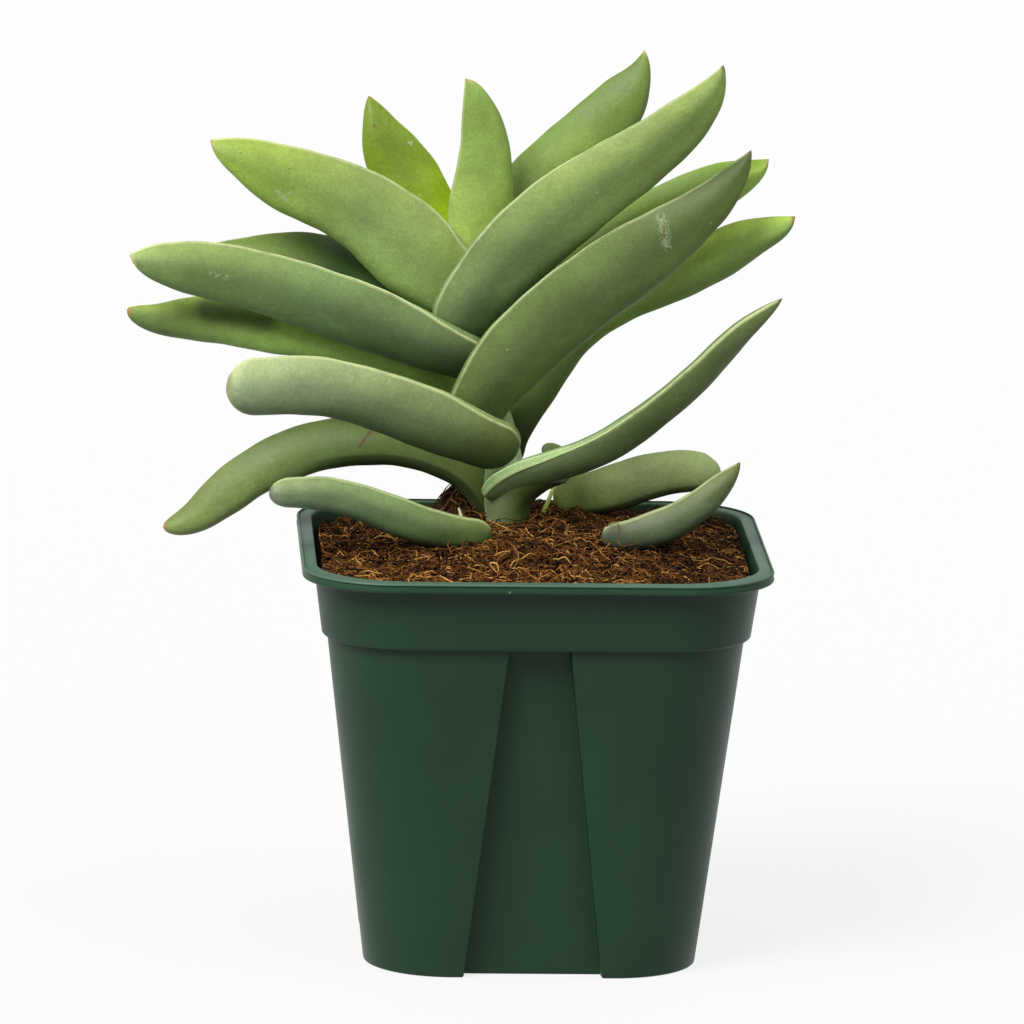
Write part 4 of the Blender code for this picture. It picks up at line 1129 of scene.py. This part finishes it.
class CRASSULA_OT_pot(Operator):
    """Make the moulded nursery pot with its collar, lip, recesses and drain holes."""

    bl_idname = "crassula.pot"
    bl_label = "Pot"

    def execute(self, context):
        settings = context.scene.crassula_pot
        rings = pot_rings(settings.fillet / MM)
        columns = len(rings[0])
        points = np.concatenate(rings)
        underside = np.arange(columns)[None, ::-1]
        inner_floor = np.arange(len(points) - columns, len(points))[None]
        faces = [ring_quads(len(rings), columns), underside, inner_floor]
        piece = add_piece("pot_moulding", points, faces)
        corners = [(x * DRAIN_OFFSET, y * DRAIN_OFFSET) for x in (-1, 1) for y in (-1, 1)]
        drill(piece, corners, DRAIN_RADIUS, 4 * FLOOR)
        dress(piece, pot_material(settings), "pot_plastic", "pot")
        return {"FINISHED"}


# ---------------------------------------------------------------------------------------------
# Soil
# ---------------------------------------------------------------------------------------------

def soil_height(x, y):
    """Height of the bed: a bell-shaped mound and a pit on a flat, in millimetres."""
    away = (x - SOIL_MOUND_CENTRE[0]) ** 2 + (y - SOIL_MOUND_CENTRE[1]) ** 2
    mound = SOIL_MOUND * np.exp(-away / SOIL_MOUND_RADIUS**2)
    away = (x - SOIL_PIT_CENTRE[0]) ** 2 + (y - SOIL_PIT_CENTRE[1]) ** 2
    return SOIL_EDGE_Z + mound - SOIL_PIT * np.exp(-away / SOIL_PIT_RADIUS**2)


def soil_inset(x, y):
    """Distance of a place from the collar's inner wall, negative outside it.

    The outline is a rounded square: the distance to it is corner minus the length of what the
    place sticks out past the square of the corner circles' centres.
    """
    half = COLLAR_HALF_TOP - 0.4 - WALL
    corner = COLLAR_CORNER - WALL
    out_x = np.abs(x) - (half - corner)
    out_y = np.abs(y) - (half - corner)
    outside = np.hypot(np.maximum(out_x, 0), np.maximum(out_y, 0))
    return corner - outside - np.minimum(np.maximum(out_x, out_y), 0)


def lumps(points, relief, seed):
    """Lumps of the bed: three octaves of lattice noise."""
    return relief * (0.55 * lattice_noise(points, 5.5, seed) + 0.35 * lattice_noise(points, 2.1, seed + 1)
                     + 0.22 * lattice_noise(points, 0.9, seed + 2))


def stub_rise(x, y):
    """Height that coir clinging to the old stub adds to the bed."""
    centre = STEMS["old_stem_stub"]["path"][2]
    away = np.hypot(x - centre[0], y - centre[1])
    return STUB_RISE * np.exp(-(away / STUB_RISE_RADIUS) ** 4)


def crust_surface(settings, rings, columns):
    """The bed's top as rings that shrink to its middle, moved by lumps, with a skirt and a floor."""
    turn = 2 * math.pi * np.arange(columns) / columns
    ray = np.stack((np.cos(turn), np.sin(turn)), -1)
    near, far = np.zeros(columns), np.full(columns, 90.0)
    for _ in range(BISECTIONS):
        middle = (near + far) / 2
        inside = soil_inset(*(ray * middle[:, None]).T) > SOIL_CLEARANCE + 0.2
        near, far = np.where(inside, middle, near), np.where(inside, far, middle)
    scale = np.linspace(1, 0, rings, endpoint=False)
    flat = ray[None] * near[None, :, None] * scale[:, None, None]
    x, y = flat[..., 0].ravel(), flat[..., 1].ravel()
    top = np.column_stack((x, y, soil_height(x, y)))
    top[:, 2] += CRUST_LIFT + lumps(top, settings.relief / MM, settings.seed)
    low = top[:columns] * (0.97, 0.97, 1.0)
    low[:, 2] = SOIL_EDGE_Z - CRUST_DEPTH
    pole = np.array(((0.0, 0.0, float(soil_height(0, 0)) + CRUST_LIFT),))
    points = np.concatenate((low, top, pole))
    faces = [ring_quads(rings + 1, columns), pole_fan(rings * columns, columns, len(points) - 1, False),
             np.arange(columns)[None, ::-1]]
    return points, faces


def tube_rings(line, radius, sides):
    """Round sections of the given radii on lines of points; the first axis numbers the lines."""
    along = np.gradient(line, axis=1)
    along /= np.linalg.norm(along, axis=2, keepdims=True) + 1e-9
    side = np.cross(along, (0.05, 0.02, 1.0))
    side /= np.linalg.norm(side, axis=2, keepdims=True) + 1e-9
    other = np.cross(along, side)
    turn = 2 * math.pi * np.arange(sides) / sides
    ring = np.cos(turn)[:, None] * side[:, :, None] + np.sin(turn)[:, None] * other[:, :, None]
    points = (line[:, :, None] + radius[..., None, None] * ring).reshape(-1, 3)
    count, steps = line.shape[:2]
    each = steps * sides
    offsets = (np.arange(count) * each)[:, None, None]
    tube = (ring_quads(steps, sides)[None] + offsets).reshape(-1, 4)
    first = (np.arange(sides)[::-1][None, None] + offsets).reshape(-1, sides)
    last = (np.arange(each - sides, each)[None, None] + offsets).reshape(-1, sides)
    return points, [tube, first, last], np.repeat(np.arange(count), each)


def fibre_surface(fibres, steps, sides, rng):
    """Thin closed tubes along curled lines that lie on the soil, all at once.

    A fibre's heading turns evenly by curl with a random wobble. Its height is the bed's plus lift,
    a tilt that raises one end, a half-sine arch and two random waves. Its radius narrows to both
    ends. Returns points, faces and, for each point, the number of its fibre.
    """
    start, length, radius = fibres["start"], fibres["length"], fibres["radius"]
    count = len(start)
    t = np.linspace(0, 1, steps)
    wobble = np.cumsum(rng.normal(0, fibres["wobble"], (count, steps)), axis=1)
    angle = fibres["heading"][:, None] + fibres["curl"][:, None] * (t - 0.5) + wobble
    step = (length / (steps - 1))[:, None]
    x = np.cumsum(np.cos(angle) * step, axis=1)
    y = np.cumsum(np.sin(angle) * step, axis=1)
    x += start[:, 0, None] - x.mean(axis=1, keepdims=True)
    y += start[:, 1, None] - y.mean(axis=1, keepdims=True)
    over = np.clip(0.7 + radius[:, None] - soil_inset(x, y), 0, None)
    away = np.hypot(x, y) + 1e-6
    x, y = x - x / away * over * 1.2, y - y / away * over * 1.2
    phase = rng.uniform(0, 2 * math.pi, (2, count, 1))
    waves = np.sin(2 * math.pi * t * 1.3 + phase[0]) + 0.6 * np.sin(2 * math.pi * t * 2.9 + phase[1])
    rise = fibres["arch"][:, None] * (np.sin(math.pi * t) + 0.35 * waves)
    tilt = fibres["tilt"][:, None] * (t - 0.3) * length[:, None]
    z = soil_height(x, y) + stub_rise(x, y) + fibres["lift"][:, None] + rise + tilt
    narrow = radius[:, None] * (0.35 + 0.65 * np.sin(math.pi * np.clip(t, 0.06, 0.94))) ** 0.8
    return tube_rings(np.stack((x, y, z), -1), narrow, sides)


def scatter(count, rng, margin):
    """Random places on the bed, at least margin inside the pot's wall."""
    half = COLLAR_HALF_TOP - WALL
    tries = rng.uniform(-half, half, (3 * count, 2))
    inside = soil_inset(tries[:, 0], tries[:, 1]) > margin
    return tries[inside][:count]


def coir_material(settings):
    """Coir: each fibre's tone comes from its shade number, and painted light and shade make the bed paler at
    the front and darker at the back and right.
    """
    tree = Tree("coir")
    uneven = tree.between(tree.noise(0.0016, detail=3, warp=0.5), 0.3, 0.7, -0.14, 0.14)
    tone = tree.math("ADD", tree.attribute("shade"), uneven, clamp=True)
    colour = tree.ramp(tone, ((0.10, tuple(settings.dark)), (0.45, tuple(settings.brown)),
                              (0.70, tuple(2.0 * c for c in settings.brown)), (1.0, tuple(settings.tan))))
    x, y, _ = tree.place_parts()
    # Painted light and shade: paler towards the front, darker towards the back and the right, where shade
    # falls.
    painted_bed_shade = tree.times(tree.between(y, -0.046, 0.0, 1.1, 0.72), tree.between(x, 0.005, 0.030, 1.0, 0.72))
    return tree.finish(tree.shade(colour, painted_bed_shade), 0.9, tree.noise(0.0004, detail=2), 0.00005,
                       Specular_IOR_Level=0.08)


class CRASSULA_OT_soil(Operator):
    """Make the soil's crust, its crumbs and the coir fibres that lie on it."""

    bl_idname = "crassula.soil"
    bl_label = "Soil"

    def execute(self, context):
        settings = context.scene.crassula_soil
        rng = np.random.default_rng(settings.seed)
        skin = coir_material(settings)
        points, faces = crust_surface(settings, *CRUST_GRID)
        # The crust's low shade numbers paint it dark, as painted shade in the gaps under the fibres.
        shade = 0.11 + 0.12 * lattice_noise(points, 3.0, 90) + 0.12 * lattice_noise(points, 0.8, 91)
        dress(add_piece("soil_crust", points, faces, {"shade": shade}, sharp=0), skin, "coir")
        self.fibres(settings, rng, skin)
        self.strands(settings, rng, skin)
        self.crumbs(settings, rng, skin)
        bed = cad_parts["soil"]
        bed.data.attributes.new("shade", "FLOAT", "POINT")
        bed.data.materials.clear()
        bed.data.materials.append(skin)
        return {"FINISHED"}

    def fibres(self, settings, rng, skin):
        """Three layers of fine fibres, each a piece of its own."""
        for layer, (low, high) in enumerate(FIBRE_LAYERS, 1):
            start = scatter(settings.fibres // len(FIBRE_LAYERS), rng, 1.0)
            count = len(start)
            fibres = dict(
                start=start, heading=rng.uniform(0, 2 * math.pi, count), curl=rng.normal(0, 2.6, count),
                length=np.clip(rng.gamma(4.0, 1.35, count) + 1.5, 2, 13), wobble=0.42,
                radius=rng.uniform(0.10, 0.25, count), lift=rng.uniform(low, high, count),
                arch=rng.gamma(2.0, 0.28, count), tilt=rng.normal(0, 0.16, count))
            points, faces, fibre = fibre_surface(fibres, steps=8, sides=4, rng=rng)
            # Painted shade: the lower layers are darker, as shade between the fibres; the random spread is
            # the fibres' own tone.
            shade = np.clip(rng.normal(0.06 + 0.15 * layer, 0.25, count), 0, 1)
            piece = add_piece(f"coir_fibres_{layer}", points, faces, {"shade": shade[fibre]}, sharp=0)
            dress(piece, skin, "coir")

    def strands(self, settings, rng, skin):
        """Longer, looser strands on top, and the single strays."""
        start = scatter(settings.strands, rng, 3.0)
        count = len(start)
        fibres = dict(
            start=start, heading=rng.uniform(0, 2 * math.pi, count), curl=rng.normal(0, 3.2, count),
            length=rng.uniform(7, 16, count), wobble=0.28, radius=rng.uniform(0.11, 0.20, count),
            lift=rng.uniform(0.4, 1.8, count), arch=rng.uniform(0.3, 1.6, count),
            tilt=rng.normal(0, 0.10, count))
        points, faces, fibre = fibre_surface(fibres, steps=22, sides=5, rng=rng)
        shade = np.clip(rng.normal(0.56, 0.24, count), 0, 1)
        dress(add_piece("coir_strands", points, faces, {"shade": shade[fibre]}, sharp=0), skin, "coir")
        for number, (path, radius, shade) in enumerate(STRAYS, 1):
            t = np.linspace(0, len(path) - 1, 60)
            line = smooth_line(np.arange(len(path)), path, t)[None]
            narrow = radius * (0.4 + 0.6 * np.sin(math.pi * np.clip(t / t[-1], 0.05, 0.95)))[None]
            points, faces, _ = tube_rings(line, narrow, sides=8)
            piece = add_piece(f"stray_strand_{number}", points, faces,
                              {"shade": np.full(len(points), shade)}, sharp=0)
            dress(piece, skin, "coir")

    def crumbs(self, settings, rng, skin):
        """Angular crumbs: stretched, jittered octahedra sunk into the crust."""
        corners = np.array(((1, 0, 0), (-1, 0, 0), (0, 1, 0), (0, -1, 0), (0, 0, 1), (0, 0, -1)), float)
        sides = np.array(((0, 2, 4), (2, 1, 4), (1, 3, 4), (3, 0, 4),
                          (2, 0, 5), (1, 2, 5), (3, 1, 5), (0, 3, 5)))
        place = scatter(settings.crumbs, rng, 1.2)
        count = len(place)
        size = rng.gamma(3.0, 0.16, count) + 0.25
        stretch = rng.uniform(0.5, 1.6, (count, 1, 3)) * size[:, None, None]
        spin = rng.uniform(0, 2 * math.pi, count)
        shape = corners[None] * stretch + rng.normal(0, 0.12, (count, 6, 3)) * size[:, None, None]
        turned = np.stack((shape[..., 0] * np.cos(spin)[:, None] - shape[..., 1] * np.sin(spin)[:, None],
                           shape[..., 0] * np.sin(spin)[:, None] + shape[..., 1] * np.cos(spin)[:, None],
                           shape[..., 2]), -1)
        centre = np.column_stack((place, soil_height(*place.T) + rng.uniform(-0.4, 1.2, count)))
        points = (turned + centre[:, None]).reshape(-1, 3)
        faces = [(sides[None] + 6 * np.arange(count)[:, None, None]).reshape(-1, 3)]
        tone = np.repeat(np.clip(rng.normal(0.42, 0.2, count), 0, 1), 6)
        dress(add_piece("coir_crumbs", points, faces, {"shade": tone}, sharp=30), skin, "coir")


# ---------------------------------------------------------------------------------------------
# Stage
# ---------------------------------------------------------------------------------------------

# Broad lights: azimuth and elevation of where they come from, and their angle, in degrees.
LIGHTS = {"key": (-42.0, 46.0, 28.0), "fill": (53.0, 52.0, 50.0), "side": (-90.0, 30.0, 40.0)}
FLOOR_RADIUS = 6000.0
FLOOR_COLUMNS = 128


def broad_light(name, azimuth, elevation, spread, strength):
    """A distant light with a wide angle, so that its shadows are soft; angles in degrees."""
    lamp = bpy.data.lights.new(name, "SUN")
    lamp.energy = strength
    lamp.angle = math.radians(spread)
    holder = bpy.data.objects.new(name, lamp)
    az, el = math.radians(azimuth), math.radians(elevation)
    towards = Vector((math.sin(az) * math.cos(el), -math.cos(az) * math.cos(el), math.sin(el)))
    holder.location = towards
    holder.rotation_euler = towards.to_track_quat("Z", "Y").to_euler()
    bpy.context.scene.collection.objects.link(holder)


class CRASSULA_OT_stage(Operator):
    """Make the pale floor, the soft lights, the white surround and the camera."""

    bl_idname = "crassula.stage"
    bl_label = "Stage"

    def execute(self, context):
        settings = context.scene.crassula_stage
        self.floor(settings)
        for name, directions in LIGHTS.items():
            broad_light(name + "_light", *directions, getattr(settings, name))
        world = bpy.data.worlds.new("white_surround")
        world.use_nodes = True
        back = world.node_tree.nodes["Background"]
        back.inputs["Color"].default_value = (1.0, 1.0, 1.0, 1.0)
        back.inputs["Strength"].default_value = settings.surround
        context.scene.world = world
        context.scene.view_settings.view_transform = "Standard"
        self.camera(context, settings)
        return {"FINISHED"}

    def floor(self, settings):
        """A wide disc, flat on the ground, that throws no light of its own on to the plant."""
        count = FLOOR_COLUMNS
        turn = 2 * math.pi * np.arange(count) / count
        radii_heights = ((FLOOR_RADIUS, -20.0), (FLOOR_RADIUS, -0.02), (FLOOR_RADIUS / 20, -0.02))
        rings = [np.column_stack((r * np.cos(turn), r * np.sin(turn), np.full(count, z)))
                 for r, z in radii_heights]
        faces = [ring_quads(3, count), np.arange(count)[None, ::-1], np.arange(2 * count, 3 * count)[None]]
        floor = add_piece("floor", np.concatenate(rings), faces)
        tree = Tree("floor_paint")
        colour = tree.shade(tuple(settings.floor_colour),
                            tree.between(tree.noise(0.4, detail=2), 0.3, 0.7, 0.99, 1.0))
        floor.data.materials.append(tree.finish(
            colour, 0.8, Specular_IOR_Level=0.1, Emission_Color=(1.0, 1.0, 1.0, 1.0),
            Emission_Strength=settings.floor_glow))
        floor.visible_diffuse = False

    def camera(self, context, settings):
        """Look from the azimuth and elevation, shifted across and up, and rolled."""
        az, el, roll = settings.azimuth, settings.elevation, settings.roll
        back = Vector((math.sin(az) * math.cos(el), -math.cos(az) * math.cos(el), math.sin(el)))
        right = Vector((math.cos(az), math.sin(az), 0.0))
        up = back.cross(right)
        turned_right = right * math.cos(roll) + up * math.sin(roll)
        turned_up = up * math.cos(roll) - right * math.sin(roll)
        lens = bpy.data.cameras.new("camera")
        lens.lens = settings.lens
        lens.sensor_width = 36.0
        lens.clip_start = 0.05
        lens.clip_end = 50.0
        holder = bpy.data.objects.new("camera", lens)
        spot = back * settings.distance + turned_right * settings.across + turned_up * settings.height
        turn = Matrix((turned_right, turned_up, back)).transposed().to_4x4()
        holder.matrix_world = Matrix.Translation(spot) @ turn
        context.scene.collection.objects.link(holder)
        context.scene.camera = holder


# ---------------------------------------------------------------------------------------------
# Panel and registration
# ---------------------------------------------------------------------------------------------

class CRASSULA_PT_sidebar(Panel):
    """Lists the plant's pieces and the stage."""

    bl_idname = "CRASSULA_PT_sidebar"
    bl_label = "Potted Crassula"
    bl_space_type = "VIEW_3D"
    bl_region_type = "UI"
    bl_category = "Crassula"

    def draw(self, context):
        layout = self.layout
        scene = context.scene
        groups = ((CRASSULA_OT_pot, scene.crassula_pot), (CRASSULA_OT_soil, scene.crassula_soil),
                  (CRASSULA_OT_stems, None), (CRASSULA_OT_leaves, scene.crassula_leaves),
                  (CRASSULA_OT_stage, scene.crassula_stage))
        for operator, settings in groups:
            box = layout.box()
            box.operator(operator.bl_idname)
            for key in (settings.__annotations__ if settings else ()):
                box.prop(settings, key)


SETTINGS = {
    "crassula_leaves": LeafSettings,
    "crassula_pot": PotSettings,
    "crassula_soil": SoilSettings,
    "crassula_stage": StageSettings,
}
CLASSES = (*SETTINGS.values(), CRASSULA_OT_leaves, CRASSULA_OT_stems, CRASSULA_OT_pot, CRASSULA_OT_soil,
           CRASSULA_OT_stage, CRASSULA_PT_sidebar)


def register():
    """Register the classes and hang the settings on the scene."""
    for cls in CLASSES:
        bpy.utils.register_class(cls)
    for key, group in SETTINGS.items():
        setattr(bpy.types.Scene, key, PointerProperty(type=group))


def unregister():
    """Undo register."""
    for key in SETTINGS:
        delattr(bpy.types.Scene, key)
    for cls in reversed(CLASSES):
        bpy.utils.unregister_class(cls)


def main():
    """Make every piece in order."""
    register()
    bpy.ops.crassula.pot()
    bpy.ops.crassula.soil()
    bpy.ops.crassula.stems()
    bpy.ops.crassula.leaves()
    bpy.ops.crassula.stage()


if __name__ == "__main__":
    main()
